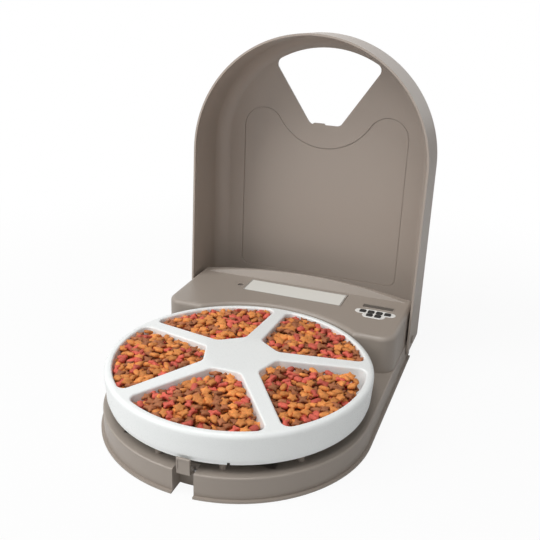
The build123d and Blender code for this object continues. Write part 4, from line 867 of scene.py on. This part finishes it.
class FEEDER_OT_works(bpy.types.Operator):
    """Finish the parts inside: board, cells, motor, gears, screws and feet"""

    bl_idname = "feeder.works"
    bl_label = "Works"

    def execute(self, context):
        finishes = (
            (("circuit_board",), ("Board Green", (0.03, 0.12, 0.05), 0.45, 0.0010)),
            (("tact_switches", "index_switch"), ("Switch Black", (0.03, 0.03, 0.03), 0.5, 0.0006)),
            (("battery_well",), ("Well Grey", (0.20, 0.19, 0.18), 0.55, 0.0008)),
            (("battery_cells",), ("Cell Wrap", (0.10, 0.11, 0.13), 0.30, 0.0015)),
            (("idler_gear", "output_gear", "drive_hub"),
             ("Gear White", (0.78, 0.77, 0.73), 0.38, 0.0008)),
            (("rubber_feet",), ("Foot Rubber", (0.035, 0.034, 0.033), 0.78, 0.0006)),
        )
        for names, (name, colour, roughness, grain) in finishes:
            dress(names, moulded(name, colour, roughness, grain))
        metals = (
            (("cover_screws", "housing_screws", "board_screws", "motor_screws", "latch_spring"),
             ("Screw Steel", (0.46, 0.45, 0.44), 0.34)),
            (("gear_motor",), ("Motor Can", (0.52, 0.52, 0.51), 0.38)),
            (("tray_spindle", "idler_axle", "latch_pin"), ("Shaft Steel", (0.56, 0.56, 0.57), 0.22)),
            (("battery_contacts",), ("Contact Nickel", (0.62, 0.60, 0.55), 0.26)),
            (("motor_pinion",), ("Pinion Brass", (0.64, 0.46, 0.20), 0.30)),
            (("drive_bush",), ("Bush Bronze", (0.48, 0.31, 0.16), 0.42)),
        )
        for names, (name, colour, roughness) in metals:
            dress(names, moulded(name, colour, roughness, 0.0009, drift=0.08, depth=0.1, metal=1.0))
        return {"FINISHED"}


class FEEDER_OT_food(bpy.types.Operator):
    """Heap baked food in the tray's five compartments"""

    bl_idname = "feeder.food"
    bl_label = "Food"

    def execute(self, context):
        food = context.scene.feeder_food
        shapes = food_shapes(food.length)
        tree = heap_tree(shapes, food_material(context.scene.feeder_colours))
        for i in range(COMPARTMENTS):
            name = f"food_{i + 1}"
            turn = -math.pi / 2 + 2 * math.pi * i / COMPARTMENTS
            heap = outline_object(name, cell_outline(food.inset, BARE_WALLS.get(i, 0.0)), turn)
            modifier = heap.modifiers.new("Heap", "NODES")
            modifier.node_group = tree
            for socket, value in (("Spacing", food.spacing), ("Edge Height", food.edge_height),
                                  ("Crown", food.crown), ("Slope Width", food.slope_width),
                                  ("Inner Rise", food.inner_rise),
                                  ("Axis", (TRAY_MID.x, TRAY_MID.y, 0.0)),
                                  ("Layer Drop", food.layer_drop), ("Layers", food.layers),
                                  ("Seed", food.seed + i)):
                set_input(modifier, tree, socket, value)
            plain_mesh(heap, name)
            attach(heap, "turntable")
        return {"FINISHED"}


class FEEDER_OT_studio(bpy.types.Operator):
    """Set up the floor, the lamps, the even sky and the camera"""

    bl_idname = "feeder.studio"
    bl_label = "Studio"

    def execute(self, context):
        studio = context.scene.feeder_studio
        studio_floor()
        for name, place, size, share in LAMPS:
            soft_box(name, place, size, studio.lamp_power * share)
        studio_world(studio.world_light)
        studio_camera(studio)
        return {"FINISHED"}


class FEEDER_PT_sidebar(bpy.types.Panel):
    """Sidebar panel that lists the feeder's steps and values"""

    bl_idname = "FEEDER_PT_sidebar"
    bl_label = "Pet Feeder"
    bl_space_type = "VIEW_3D"
    bl_region_type = "UI"
    bl_category = "Pet Feeder"

    def draw(self, context):
        layout = self.layout
        for operator in OPERATORS:
            layout.operator(operator.bl_idname)
        scene = context.scene
        for group in (scene.feeder_colours, scene.feeder_food, scene.feeder_studio):
            box = layout.box()
            for name in group.__annotations__:
                box.prop(group, name)


GROUPS = (FEEDER_PG_colours, FEEDER_PG_food, FEEDER_PG_studio)
OPERATORS = (FEEDER_OT_shell, FEEDER_OT_lid, FEEDER_OT_tray, FEEDER_OT_panel, FEEDER_OT_works,
             FEEDER_OT_food, FEEDER_OT_studio)
CLASSES = (*GROUPS, *OPERATORS, FEEDER_PT_sidebar)


def register():
    for made in CLASSES:
        bpy.utils.register_class(made)
    bpy.types.Scene.feeder_colours = PointerProperty(type=FEEDER_PG_colours)
    bpy.types.Scene.feeder_food = PointerProperty(type=FEEDER_PG_food)
    bpy.types.Scene.feeder_studio = PointerProperty(type=FEEDER_PG_studio)


def unregister():
    del bpy.types.Scene.feeder_colours
    del bpy.types.Scene.feeder_food
    del bpy.types.Scene.feeder_studio
    for made in reversed(CLASSES):
        bpy.utils.unregister_class(made)


def main():
    register()
    bpy.ops.feeder.shell()
    bpy.ops.feeder.lid()
    bpy.ops.feeder.tray()
    bpy.ops.feeder.control_panel()
    bpy.ops.feeder.works()
    bpy.ops.feeder.food()
    bpy.ops.feeder.studio()
    bpy.context.scene.view_settings.view_transform = "Standard"


if __name__ == "__main__":
    main()
